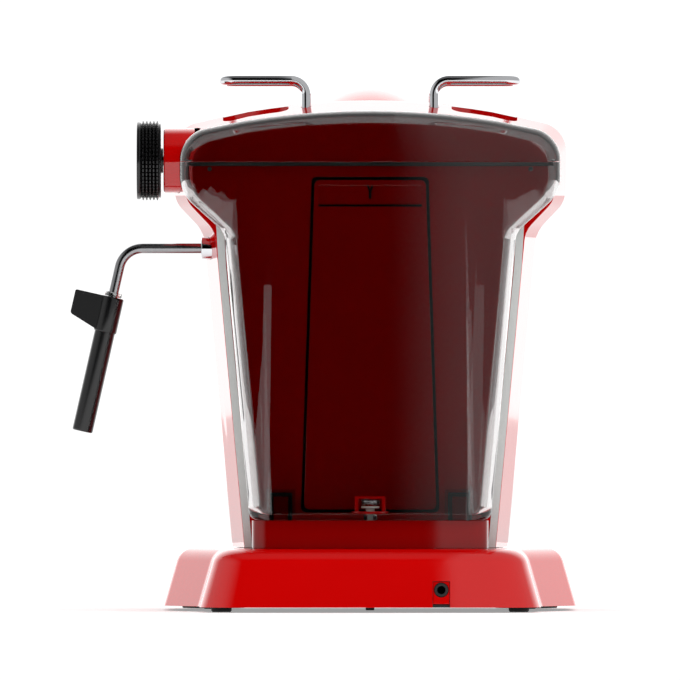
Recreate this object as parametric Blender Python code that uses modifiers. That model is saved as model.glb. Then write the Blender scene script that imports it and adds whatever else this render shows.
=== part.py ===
"""Espresso machine: base, housing, rear water tank, group, steam side and what they hold."""

import math

import bmesh
import bpy
from mathutils import Matrix, Vector

# Driving dimensions, in metres. X is across, -Y is the front, +Z is up.
GAP = 0.0003                    # clearance between touching solids
SLIDE_GAP = 0.0006              # clearance round what slides or turns
WALL = 0.0025                   # wall of the moulded shells
REACH = 0.02                    # how far cutters reach past what they cut

# Base
BASE_HALF = 0.1322              # half-width of the wide front part, at the skirt's foot
BASE_REAR_HALF = 0.1087         # half-width behind the waist
BASE_FRONT_Y = -0.150
BASE_REAR_Y = 0.135
BASE_CORNER = 0.040
BASE_REAR_CORNER = 0.030
WAIST_Y = 0.036                 # middle of the waist between the two widths
WAIST_LENGTH = 0.052
WAIST_TURN = 0.020              # radius at each end of the waist
SKIRT_FOOT_Z = 0.0031
BASE_TOP_Z = 0.0405
SKIRT_SLANT = math.radians(16)
SHOULDER_RADIUS = 0.012
PLATE_THICKNESS = 0.0020
PLATE_FIT_Z = 0.0060            # the plate fits the skirt's inside at this height

# Feet
FOOT_FRONT_X = 0.1006
FOOT_REAR_X = 0.0946
FOOT_FRONT_Y = -0.090
FOOT_REAR_Y = 0.098
FOOT_PAD_RADIUS = 0.020
FOOT_REAR_PAD_RADIUS = 0.0065
FOOT_BUTTON_RADIUS = 0.006
FOOT_BUTTON_Z = 0.0006          # underside of the pad above the surface
CENTRE_FOOT_RADIUS = 0.0028

# Drip tray
TRAY_HALF = 0.088
TRAY_REAR_Y = -0.0155
TRAY_FLOOR = 0.0022
GRID_THICKNESS = 0.0025
SLOT_WIDTH = 0.0045
SLOT_COUNT = 14
SLOT_LENGTH = 0.046
GRID_SETBACK = 0.0200           # grid's front edge behind the skirt's foot
GRID_MARGIN = 0.0080
GRID_STRIP = 0.0120             # solid strip between the two rows of slots
FLOAT_RADIUS = 0.0090
FLOAT_HEIGHT = 0.0080
FLOAT_STEM_RADIUS = 0.0024
FLOAT_PROUD = 0.0004

# Housing: a narrow column that flares into a wide head
COLUMN_FOOT_HALF = 0.0880
COLUMN_TOP_HALF = 0.1068
FLARE_Z = 0.2425
HEAD_HALF = 0.1258
SHOULDER_Z = 0.2625
ROOF_Z = 0.3260
ROOF_CROWN_RADIUS = 0.460
HEAD_CORNER = 0.018
HOUSING_REAR_Y = 0.0650
HEAD_FRONT_Y = -0.138
HEAD_UNDERSIDE_Z = 0.236
COLUMN_FRONT_Y = 0.0
THROAT_RADIUS = 0.012           # where the column meets the head's underside
REAR_TAPER = (0.040, 0.0078)    # how the sides draw in at the rear: along Y, and inwards
FRONT_TURN = (0.034, 0.026)     # how far the head's front edge rounds: along Y, and inwards

# Water tank and lid
TANK_FRONT_Y = 0.0684
TANK_REAR_Y = 0.1135
TANK_EDGE = 0.010
TANK_FOOT_HALF = 0.0768
TANK_NECK_HALF = 0.0929
TANK_NECK_Z = 0.2415
TANK_HALF = 0.1212
TANK_SHOULDER_Z = 0.267
TANK_BOTTOM_Z = 0.0585
TANK_FLOOR = 0.0035
PARTING_Z = 0.2863
LID_CROWN_RADIUS = 0.500
LID_CORNER = 0.020
PEDESTAL_HALF = 0.0752
LOCATOR_X = 0.0568
LOCATOR_HALF = 0.0068
LOCATOR_TOP_Z = 0.0755
LOCATOR_DEPTH = 0.010
LOCATOR_SETBACK = 0.008            # behind the tank's front
LOCATOR_SKIN = 0.0018              # tank's wall over a locator
PEDESTAL_CORNER = 0.012
PEDESTAL_FRONT_CORNER = 0.002

# Tank valve
VALVE_Y = 0.0910
VALVE_FLANGE_RADIUS = 0.0118
VALVE_STEM_RADIUS = 0.0028
VALVE_DISC_RADIUS = 0.0058
SPRING_RADIUS = 0.0060
SPRING_WIRE = 0.0005
VALVE_CAGE_TOP_Z = 0.0735
SEAT_RADIUS = 0.0100
SEAT_DEPTH = 0.0080
SEAT_RIM = 0.0020
SEAT_FLOOR = 0.0040                # floor of the seat's cup below the pedestal's top
PIN_RADIUS = 0.0016
PIN_TOP = 0.0004                   # top of the pin below the pedestal's top
OUTLET_PLAY = 0.0015               # water's way round the valve's stem
CAGE_THICKNESS = 0.0020
CAGE_SIDE = 0.0024
CAGE_ROOF = 0.0015
CAGE_HALF_DEPTH = 0.0020
VALVE_LIFT = 0.0020
VALVE_DISC_THICKNESS = 0.0012
SPRING_TURNS = 3
SPRING_STEPS = 8                   # straight runs in one turn

# Rear wall behind the tank
COVER_THICKNESS = 0.0025
PANEL_TOP_Z = 0.2760
PANEL_TOP_HALF = 0.0363
PANEL_FOOT_HALF = 0.0432
PANEL_FOOT_Z = 0.0640
PANEL_GROOVE = 0.0020
PANEL_CORNER = 0.003
GRIP_HALF = 0.033
GRIP_FOOT_Z = 0.2580
GRIP_TOP_Z = 0.2715
GRIP_DEPTH = 0.0012

# Splash panel on the column's front
SPLASH_FOOT_HALF = 0.075
SPLASH_TOP_HALF = 0.082
SPLASH_FOOT_RISE = 0.006        # above the base
SPLASH_TOP_DROP = 0.016         # below the head
SPLASH_CORNER = 0.010
SPLASH_THICKNESS = 0.0015

# Cup rails and cup trays on the roof
RAIL_WIRE = 0.0031
RAIL_OUTER_X = 0.0939
RAIL_REAR_Y = 0.036
RAIL_FRONT_Y = -0.058
RAIL_BEND = 0.0095
RAIL_SUNK = 0.004
CUP_TRAY_OUTER_X = 0.0940
CUP_TRAY_THICKNESS = 0.0012
CUP_TRAY_FRONT_Y = -0.050
CUP_TRAY_REAR_Y = 0.045
CUP_TRAY_CORNER = 0.008

# Gauge pod
POD_RADIUS = 0.0495
POD_FRONT_Y = -0.146
POD_TAIL_Y = 0.045
DIAL_THICKNESS = 0.0015
NEEDLE_LENGTH = 0.030
BEZEL_WIDTH = 0.0075
BEZEL_DEPTH = 0.0046
BEZEL_LIP = 0.0005
LENS_THICKNESS = 0.0015
LENS_FIT = 0.0010
HUB_RADIUS = 0.0040
HUB_HEIGHT = 0.0045
POINTER_HEIGHT = 0.0030
POINTER_HALF = 0.0007
POINTER_THICKNESS = 0.0008
POINTER_TAIL = 0.008

# Buttons
BUTTON_RADIUS = 0.0085
BUTTON_PROUD = 0.0035
BUTTON_EDGE = 0.0010
BUTTON_FLANGE = 0.0020
BUTTON_FLANGE_BACK = 0.0030      # back of the flange behind the housing wall
BUTTON_X = 0.074
BUTTON_MID_Z = 0.2675
BUTTON_PITCH = 0.024
BUTTONS = {
    "power_button": (-BUTTON_X, BUTTON_MID_Z),
    "brew_button": (BUTTON_X, BUTTON_MID_Z + BUTTON_PITCH / 2),
    "steam_button": (BUTTON_X, BUTTON_MID_Z - BUTTON_PITCH / 2),
}

# Group and portafilter
GROUP_Y = -0.056
GROUP_RADIUS = 0.0400
GROUP_BORE = 0.0365
GROUP_FOOT_Z = 0.2060
GROUP_CEILING_Z = 0.2270
GROUP_TOP_Z = 0.2440
LEDGE_THICKNESS = 0.0050
HOLDER_RADIUS = 0.0330
HOLDER_WALL = 0.0040
HOLDER_FLOOR_Z = 0.1860
LUG_SWEEP = math.radians(30)
LUG_THICKNESS = 0.0045
GASKET_THICKNESS = 0.0060
BASKET_RADIUS = 0.0275
BASKET_WALL = 0.0008
BASKET_DEPTH = 0.0240
BASKET_TURN = (0.002, 0.004)       # inwards and upwards, round the basket's foot
GROUP_EDGE = 0.002
LUG_ROOT = 0.001                   # how deep ledges and lugs are let into their walls
LEDGE_LEAD = 0.08                  # radians the ledges reach past the lugs, on the free side
LEDGE_STOP = 0.12                  # and on the stop's side
SCREW_RADIUS = 0.0060              # raised middle of the shower screen
SCREEN_DROP = 0.0020
SCREEN_THICKNESS = 0.0014
HOLDER_TURN = (0.008, 0.010)       # inwards and upwards, round the holder's foot
OUTLET_RADIUS = 0.0045
OUTLET_NECK = 0.0110
OUTLET_DROP = 0.004
BOSS_RADIUS = 0.0085
BOSS_LENGTH = 0.012
HANDLE_RADIUS = 0.0130
HANDLE_LENGTH = 0.115
HANDLE_Z = 0.1955
SPOUT_Z = 0.1560
SPOUT_RADIUS = 0.0068
SPOUT_LENGTH = 0.012
SPOUT_LIP_RADIUS = 0.0048
SPOUT_SPREAD = 0.0165              # from the middle to each lip's foot

# Boiler, pump and what joins them
BOILER_RADIUS = 0.0360
BOILER_TOP_Z = 0.2960
BOILER_SPLIT_Z = 0.2600
BOILER_STEP = 0.002                # the shell's side inside the nominal radius
BOILER_WALL = 0.004
BOILER_FLANGE = 0.0015
BOILER_FLANGE_THICKNESS = 0.004
BOILER_DOME = 0.008
PUMP_X = -0.030
PUMP_Y = 0.034
PUMP_SIZE = (0.046, 0.040, 0.075)
PUMP_FOOT_Z = 0.085
STUB_RADIUS = 0.0060
STUB_TOP = 0.018                   # the outlet stub above the pump
STUB_FOOT = 0.020                  # the inlet stub below it
MOUNT_RADIUS = 0.0150
MOUNT_HEIGHT = 0.0120
PRESSURE_Z = 0.2750
PRESSURE_X = -0.008
HOSE_BEND = 0.010
PIPE_BEND = 0.008
HOSE_RADIUS = 0.0040
PIPE_RADIUS = 0.0025
SUCTION_RISE = 0.009            # suction hose's centre above the base

# Steam side, on +X
STEAM_Y = 0.042
KNOB_Z = 0.2875
KNOB_RADIUS = 0.02535
KNOB_INNER_X = 0.1334
KNOB_OUTER_X = 0.1489
COLLAR_RADIUS = 0.0206
COLLAR_OUTER_X = 0.1318
VALVE_BODY_RADIUS = 0.0120
SPINDLE_RADIUS = 0.0030
COLLAR_DEPTH = 0.0135
VALVE_START_X = 0.080
VALVE_NECK_LENGTH = 0.010
SPINDLE_SUNK = 0.020               # how far the spindle reaches into the valve
SPINDLE_PROUD = 0.009              # and into the knob
KNOB_HUB_RADIUS = 0.0080
KNOB_EDGE = 0.0010
FEED_X = 0.060
FEED_DROP = 0.012
WAND_Z = 0.2315
WAND_JOINT_RADIUS = 0.0070
WAND_JOINT_LENGTH = 0.020
WAND_JOINT_PROUD = 0.0010
WAND_RING_RADIUS = 0.0056
WAND_RING_LENGTH = 0.0030
PIPE_SET_BACK = 0.014              # the steam pipe behind the joint's outer end
WAND_TUBE_RADIUS = 0.00325
WAND_CORNER_X = 0.1572
WAND_BEND = 0.015
WAND_LEAN = math.radians(12.8)
SLEEVE_START = 0.0316           # from the tube's corner point, along the sleeve
SLEEVE_LENGTH = 0.0882
SLEEVE_COLLAR_RADIUS = 0.0074
SLEEVE_COLLAR_LENGTH = 0.0227
SLEEVE_RADIUS = 0.0066
TAB_REACH = 0.0242
TAB_EDGE = 0.0158
TAB_THICKNESS = 0.0080
TAB_SUNK = 0.0020

# Cord gland
GLAND_X = -0.0451
GLAND_Z = 0.0143
GLAND_RADIUS = 0.00445
GLAND_INSERT_HALF = 0.0052
GLAND_INSERT_DEPTH = 0.006      # behind the skirt's wall
GLAND_SLOT_DEPTH = 0.030
GLAND_BORE = 0.0026
GLAND_LENGTH = 0.012
GLAND_PROUD = 0.0012

# control board, in (x, z)
BOARD_SETBACK = 0.010              # in front of the housing's rear
BOARD_THICKNESS = 0.0016
BOARD_CORNERS = ((0.025, 0.080), (0.080, 0.180))
BOARD_BLOCK_DEPTH = 0.012
BOARD_BLOCKS = (                   # corner's x and z, width, height
    (0.034, 0.095, 0.014, 0.016),
    (0.060, 0.100, 0.020, 0.014),
    (0.050, 0.150, 0.024, 0.020),
)

# sizes that follow from others
POD_Z = ROOF_Z - 0.0360
POD_CUT_Z = POD_Z + 0.0120         # behind its drum the pod keeps only what stands above this
POD_DRUM_REAR_Y = GROUP_Y - GROUP_RADIUS - 0.0020
DIAL_Y = POD_FRONT_Y + 0.0080
RAIL_Z = ROOF_Z + 0.0130
RAIL_LEG_X = math.sqrt(POD_RADIUS ** 2 - 0.0324 ** 2) + RAIL_WIRE + GAP
CUP_TRAY_Z = ROOF_Z - 0.0180
CUP_TRAY_INNER_X = RAIL_LEG_X + 0.0112
LID_TOP_Z = ROOF_Z - 0.0071


# ---- scene and helpers -------------------------------------------------------------------

for old in list(bpy.data.objects):
    bpy.data.objects.remove(old, do_unlink=True)

PARTS = bpy.data.collections.new("espresso_machine")
CUTTERS = bpy.data.collections.new("cutters")
bpy.context.scene.collection.children.link(PARTS)
bpy.context.scene.collection.children.link(CUTTERS)


def make_material(name, colour, roughness, metallic=0.0, alpha=1.0):
    """A Principled material."""
    material = bpy.data.materials.new(name)
    material.use_nodes = True
    shader = material.node_tree.nodes["Principled BSDF"]
    shader.inputs["Base Color"].default_value = (*colour, 1.0)
    shader.inputs["Roughness"].default_value = roughness
    shader.inputs["Metallic"].default_value = metallic
    shader.inputs["Alpha"].default_value = alpha
    return material


RED = make_material("gloss_red", (0.52, 0.0, 0.0), 0.12)
CHROME = make_material("chrome", (0.80, 0.80, 0.82), 0.08, 1.0)
STEEL = make_material("brushed_steel", (0.55, 0.55, 0.56), 0.32, 1.0)
ALUMINIUM = make_material("cast_aluminium", (0.62, 0.62, 0.63), 0.45, 1.0)
BRASS = make_material("brass", (0.72, 0.52, 0.20), 0.30, 1.0)
BLACK = make_material("black_plastic", (0.015, 0.015, 0.016), 0.35)
RUBBER = make_material("rubber", (0.02, 0.02, 0.02), 0.75)
CLEAR = make_material("clear_plastic", (0.80, 0.82, 0.82), 0.05, 0.0, 0.3)
WHITE = make_material("dial_white", (0.85, 0.84, 0.80), 0.5)
SILICONE = make_material("silicone", (0.78, 0.76, 0.72), 0.5)
GREEN = make_material("circuit_board", (0.02, 0.16, 0.06), 0.4)


def add_part(obj, material):
    """Puts an object in the model, with its material."""
    PARTS.objects.link(obj)
    obj.data.materials.clear()
    obj.data.materials.append(material)
    return obj


def add_cutter(obj):
    """Puts an object among the cutters, which aren't part of the model."""
    CUTTERS.objects.link(obj)
    obj.hide_render = True
    obj.display_type = "WIRE"
    return obj


def combine(target, other, operation="DIFFERENCE"):
    """A Boolean of the target with another object."""
    modifier = target.modifiers.new(other.name, "BOOLEAN")
    modifier.object = other
    modifier.operation = operation
    modifier.solver = "EXACT"
    return target


def pivot(name, location, *pieces):
    """An empty on a joint's axis that carries the pieces turning or sliding there."""
    empty = bpy.data.objects.new(name, None)
    empty.location = location
    empty.empty_display_size = 0.01
    PARTS.objects.link(empty)
    for piece in pieces:
        piece.parent = empty
        piece.matrix_parent_inverse = Matrix.Translation(location).inverted()
    return empty


def mesh_object(name, bm):
    """An object from a bmesh, shaded smooth up to its sharp edges."""
    mesh = bpy.data.meshes.new(name)
    bm.to_mesh(mesh)
    bm.free()
    mesh.shade_smooth()
    mesh.set_sharp_from_angle(angle=math.radians(32))
    return bpy.data.objects.new(name, mesh)


def box(name, low, high):
    """A block between two corners."""
    bm = bmesh.new()
    bmesh.ops.create_cube(bm, size=1.0)
    low, high = Vector(low), Vector(high)
    size = high - low
    bmesh.ops.scale(bm, vec=size, verts=bm.verts)
    bmesh.ops.translate(bm, vec=(low + high) / 2, verts=bm.verts)
    return mesh_object(name, bm)


AXIS_TURN = {
    "X": (0.0, math.radians(90), 0.0),
    "Y": (math.radians(-90), 0.0, 0.0),
    "Z": (0.0, 0.0, 0.0),
}


def turned(name, profile, place, axis="Z", steps=24, closed=False):
    """A turned shape. The profile is (radius, height), down its outer side; height runs along axis."""
    mesh = bpy.data.meshes.new(name)
    points = [(radius, 0.0, height) for radius, height in profile]
    edges = [(i, i + 1) for i in range(len(points) - 1)]
    if closed:
        edges.append((len(points) - 1, 0))
    mesh.from_pydata(points, edges, [])
    obj = bpy.data.objects.new(name, mesh)
    screw = obj.modifiers.new("turn", "SCREW")
    screw.steps = steps
    screw.render_steps = steps
    screw.use_merge_vertices = True
    screw.merge_threshold = 0.00001
    screw.use_smooth_shade = True
    obj.location = place
    obj.rotation_euler = AXIS_TURN[axis] if isinstance(axis, str) else axis
    return obj


def rod(name, radius, start, end, place, axis="Z", steps=20):
    """A plain round rod between two heights along its axis."""
    profile = [(0.0, end), (radius, end), (radius, start), (0.0, start)]
    return turned(name, profile, place, axis, steps)


def ring(name, outer, inner, start, end, place, axis="Z", steps=24):
    """A plain ring between two heights along its axis."""
    profile = [(outer, end), (outer, start), (inner, start), (inner, end)]
    return turned(name, profile, place, axis, steps, closed=True)


def wire(name, points, radius, resolution=2):
    """A round wire or hose along points, with filled caps."""
    curve = bpy.data.curves.new(name, "CURVE")
    curve.dimensions = "3D"
    curve.bevel_depth = radius
    curve.bevel_resolution = resolution
    curve.use_fill_caps = True
    spline = curve.splines.new("POLY")
    spline.points.add(len(points) - 1)
    for target, point in zip(spline.points, points):
        target.co = (*point, 1.0)
    return bpy.data.objects.new(name, curve)


def rounded(corners, steps=3):
    """The outline through corners (x, y, radius), each rounded by an arc."""
    outline = []
    for i, (x, y, radius) in enumerate(corners):
        here = Vector((x, y))
        if radius == 0.0:
            outline.append(here)
            continue
        before = Vector(corners[i - 1][:2])
        after = Vector(corners[(i + 1) % len(corners)][:2])
        back = (before - here).normalized()
        on = (after - here).normalized()
        half = back.angle(on) / 2
        start = here + back * radius / math.tan(half)
        centre = here + (back + on).normalized() * radius / math.sin(half)
        first = start - centre
        last = here + on * radius / math.tan(half) - centre
        sweep = math.atan2(first.x * last.y - first.y * last.x, first.dot(last))
        for step in range(steps + 1):
            turn = Matrix.Rotation(sweep * step / steps, 2)
            outline.append(centre + turn @ first)
    return outline


def rounded_3d(corners, radius, steps=4):
    """A path through 3D points, with its inner corners rounded."""
    path = [Vector(corners[0])]
    for before, here, after in zip(corners, corners[1:], corners[2:]):
        here = Vector(here)
        back = (Vector(before) - here).normalized()
        on = (Vector(after) - here).normalized()
        half = back.angle(on) / 2
        reach = radius / math.tan(half)
        centre = here + (back + on).normalized() * radius / math.sin(half)
        first = here + back * reach - centre
        axis = back.cross(on)
        sweep = -(math.pi - 2 * half)
        for step in range(steps + 1):
            path.append(centre + Matrix.Rotation(sweep * step / steps, 3, axis) @ first)
    path.append(Vector(corners[-1]))
    return path


def both_sides(half):
    """A closed outline from its +X half, which starts and ends on the centre line."""
    other = [Vector((-point.x, point.y)) for point in reversed(half[1:-1])]
    return list(half) + other


def inset_outline(outline, distance):
    """A closed outline moved inwards; the outline runs counter-clockwise."""
    result = []
    count = len(outline)
    for i, point in enumerate(outline):
        back = (point - outline[i - 1]).normalized()
        on = (outline[(i + 1) % count] - point).normalized()
        normal = Vector((-back.y - on.y, back.x + on.x)).normalized()
        lean = max(0.5, normal.dot(Vector((-back.y, back.x))))
        result.append(point + normal * distance / lean)
    return result


def loft(name, rings, caps=(True, True)):
    """A skin through rings of the same number of points, with its ends closed or open."""
    bm = bmesh.new()
    rows = [[bm.verts.new(point) for point in points] for points in rings]
    for lower, upper in zip(rows, rows[1:]):
        for i in range(len(lower)):
            j = (i + 1) % len(lower)
            bm.faces.new((lower[i], lower[j], upper[j], upper[i]))
    if caps[0]:
        bm.faces.new(rows[0])
    if caps[1]:
        bm.faces.new(rows[-1])
    bmesh.ops.recalc_face_normals(bm, faces=bm.faces)
    return mesh_object(name, bm)


def flat(outline, z):
    """An outline laid level at height z."""
    return [(point.x, point.y, z) for point in outline]


def upright(outline, y):
    """An outline stood up across the machine at depth y."""
    return [(point.x, y, point.y) for point in outline]


def sideways(outline, x):
    """An outline of (y, z) points stood up along the machine at x."""
    return [(x, point.x, point.y) for point in outline]


def quarter(radius_along, radius_in, steps):
    """Steps round a rounded edge: (distance before the end, distance inwards)."""
    turns = [math.pi / 2 * step / steps for step in range(steps + 1)]
    return [(radius_along * (1 - math.sin(t)), radius_in * (1 - math.cos(t))) for t in turns]


def crown_height(x, top, radius):
    """Height of a crowned top at x."""
    return top - x * x / (2 * radius)


# ---- outlines that several pieces share --------------------------------------------------

def base_outline():
    """The base's plan at the skirt's foot: wide in front, waisted, narrower behind."""
    waist = WAIST_LENGTH / 2
    half = rounded([
        (0.0, BASE_FRONT_Y, 0.0),
        (BASE_HALF, BASE_FRONT_Y, BASE_CORNER),
        (BASE_HALF, WAIST_Y - waist, WAIST_TURN),
        (BASE_REAR_HALF, WAIST_Y + waist, WAIST_TURN),
        (BASE_REAR_HALF, BASE_REAR_Y, BASE_REAR_CORNER),
        (0.0, BASE_REAR_Y, 0.0),
    ], 4)
    return both_sides(half)


def skirt_steps():
    """(inset, height) pairs up the base's side: a slanted skirt and a round shoulder."""
    centre_z = BASE_TOP_Z - SHOULDER_RADIUS
    rise = centre_z + SHOULDER_RADIUS * math.sin(SKIRT_SLANT) - SKIRT_FOOT_Z
    centre_in = SHOULDER_RADIUS * math.cos(SKIRT_SLANT) + rise * math.tan(SKIRT_SLANT)
    pairs = [(0.0, SKIRT_FOOT_Z)]
    for step in range(4):
        turn = SKIRT_SLANT + (math.pi / 2 - SKIRT_SLANT) * step / 3
        inwards = centre_in - SHOULDER_RADIUS * math.cos(turn)
        pairs.append((inwards, centre_z + SHOULDER_RADIUS * math.sin(turn)))
    return pairs


def skirt_inset(z):
    """How far the base's side has come in at height z, along its slanted part."""
    return (z - SKIRT_FOOT_Z) * math.tan(SKIRT_SLANT)


def base_rings():
    """The base's outer rings from foot to top."""
    outline = base_outline()
    return [flat(inset_outline(outline, inset), z) for inset, z in skirt_steps()]


def crown_points(top, radius, start_x):
    """Points along a crowned top, from start_x to the centre line."""
    steps = 3
    xs = [start_x * (steps - step) / steps for step in range(steps + 1)]
    return [(x, crown_height(x, top, radius), 0.0) for x in xs]


def column_half(z):
    """Half-width of the column, which widens evenly from the base to the flare."""
    slope = (COLUMN_TOP_HALF - COLUMN_FOOT_HALF) / (FLARE_Z - BASE_TOP_Z)
    return COLUMN_FOOT_HALF + (z - BASE_TOP_Z) * slope


def housing_outline(inset, foot_z):
    """The housing seen from behind, brought in all round by inset."""
    eaves = crown_height(HEAD_HALF, ROOF_Z, ROOF_CROWN_RADIUS)
    corner = HEAD_CORNER - inset * 0.25
    corners = [
        (0.0, foot_z, 0.0),
        (column_half(foot_z) - inset, foot_z, 0.0),
        (COLUMN_TOP_HALF - inset, FLARE_Z, corner),
        (HEAD_HALF - inset, SHOULDER_Z, corner),
        (HEAD_HALF - inset, eaves - inset, corner),
    ]
    crown = crown_points(ROOF_Z - inset, ROOF_CROWN_RADIUS, HEAD_HALF * 0.62)
    return both_sides(rounded(corners + crown))


def housing_rings(inset, foot_z, front, rear):
    """Housing sections from its rounded front to its tapered rear."""
    rings = []
    for before_end, inwards in reversed(quarter(*FRONT_TURN, 3)):
        rings.append(upright(housing_outline(inset + inwards, foot_z), front + before_end))
    along, inwards = REAR_TAPER
    rings.append(upright(housing_outline(inset, foot_z), rear - along))
    rings.append(upright(housing_outline(inset + inwards, foot_z), rear))
    return rings


def tank_outline(inset, foot_z, top_z):
    """The tank seen from behind, brought in all round by inset."""
    slope = (TANK_NECK_HALF - TANK_FOOT_HALF) / (TANK_NECK_Z - TANK_BOTTOM_Z)
    foot_half = TANK_FOOT_HALF + (foot_z - TANK_BOTTOM_Z) * slope
    return both_sides(rounded([
        (0.0, foot_z, 0.0),
        (foot_half - inset, foot_z, 0.006),
        (TANK_NECK_HALF - inset, TANK_NECK_Z, 0.012),
        (TANK_HALF - inset, TANK_SHOULDER_Z, 0.022),
        (TANK_HALF - inset, top_z, 0.0),
        (0.0, top_z, 0.0),
    ]))


def lid_outline(inset, foot_z):
    """The tank's lid seen from behind, brought in at its sides and top by inset."""
    eaves = crown_height(TANK_HALF, LID_TOP_Z, LID_CROWN_RADIUS)
    corners = [
        (0.0, foot_z, 0.0),
        (TANK_HALF - inset, foot_z, 0.0),
        (TANK_HALF - inset, eaves - inset, LID_CORNER - inset),
    ]
    crown = crown_points(LID_TOP_Z - inset, LID_CROWN_RADIUS, TANK_HALF * 0.66)
    return both_sides(rounded(corners + crown, 4))


def tank_sections(outline, wall, **heights):
    """Rings of the tank or its lid from its flat front to its rounded rear."""
    rings = [upright(outline(wall, **heights), TANK_FRONT_Y + wall)]
    for before_end, inwards in quarter(TANK_EDGE, TANK_EDGE * 0.7, 3):
        y = TANK_REAR_Y - wall - before_end
        rings.append(upright(outline(wall + inwards, **heights), y))
    return rings


# ---- base --------------------------------------------------------------------------------

def make_base():
    """The moulded base, its plate, feet and cord gland."""
    skirt = loft("base_skirt", base_rings(), caps=(False, True))
    shell = skirt.modifiers.new("wall", "SOLIDIFY")
    shell.thickness = WALL
    shell.offset = -1.0
    shell.use_even_offset = True
    tray_space = add_cutter(box(
        "tray_space",
        (-TRAY_HALF - SLIDE_GAP, BASE_FRONT_Y - REACH, -REACH),
        (TRAY_HALF + SLIDE_GAP, TRAY_REAR_Y + SLIDE_GAP, BASE_TOP_Z + REACH),
    ))
    half = GLAND_INSERT_HALF
    gland_space = add_cutter(box(
        "gland_space",
        (GLAND_X - half - GAP, BASE_REAR_Y - GLAND_SLOT_DEPTH, -REACH),
        (GLAND_X + half + GAP, BASE_REAR_Y + REACH, GLAND_Z + half + GAP),
    ))
    combine(skirt, tray_space)
    combine(skirt, gland_space)
    add_part(skirt, RED)

    plate_outline = inset_outline(base_outline(), WALL + skirt_inset(PLATE_FIT_Z) + GAP)
    plate_top = SKIRT_FOOT_Z + PLATE_THICKNESS
    plate_rings = [flat(plate_outline, SKIRT_FOOT_Z), flat(plate_outline, plate_top)]
    add_part(loft("base_plate", plate_rings), BLACK)

    pad_top = SKIRT_FOOT_Z - GAP
    for side, sign in (("left", -1), ("right", 1)):
        for end, x, y, radius in (
            ("front", FOOT_FRONT_X, FOOT_FRONT_Y, FOOT_PAD_RADIUS),
            ("rear", FOOT_REAR_X, FOOT_REAR_Y, FOOT_REAR_PAD_RADIUS),
        ):
            profile = [
                (0.0, pad_top),
                (radius, pad_top),
                (radius, FOOT_BUTTON_Z),
                (FOOT_BUTTON_RADIUS, FOOT_BUTTON_Z),
                (FOOT_BUTTON_RADIUS, 0.0),
                (0.0, 0.0),
            ]
            add_part(turned(f"foot_{end}_{side}", profile, (sign * x, y, 0.0)), RUBBER)
    add_part(rod("centre_foot", CENTRE_FOOT_RADIUS, 0.0, pad_top, (0, 0, 0), steps=16), RUBBER)

    # The gland sits in an upright insert that fills the slot in the skirt.
    face_y = BASE_REAR_Y - skirt_inset(GLAND_Z)
    lower = SKIRT_FOOT_Z + PLATE_THICKNESS + GAP
    insert = box(
        "gland_insert",
        (GLAND_X - half, face_y - WALL - GLAND_INSERT_DEPTH, lower),
        (GLAND_X + half, BASE_REAR_Y + REACH, GLAND_Z + half),
    )
    skin = add_cutter(loft("base_solid", base_rings()))
    combine(insert, skin, "INTERSECT")
    hole_place = (GLAND_X, face_y, GLAND_Z)
    hole = add_cutter(rod("gland_hole", GLAND_RADIUS + GAP, -REACH, REACH, hole_place, "Y"))
    combine(insert, hole)
    add_part(insert, RED)
    gland = ring("cord_gland", GLAND_RADIUS, GLAND_BORE, -GLAND_LENGTH, GLAND_PROUD,
                 hole_place, "Y", 20)
    add_part(gland, RUBBER)
    return skin


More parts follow.
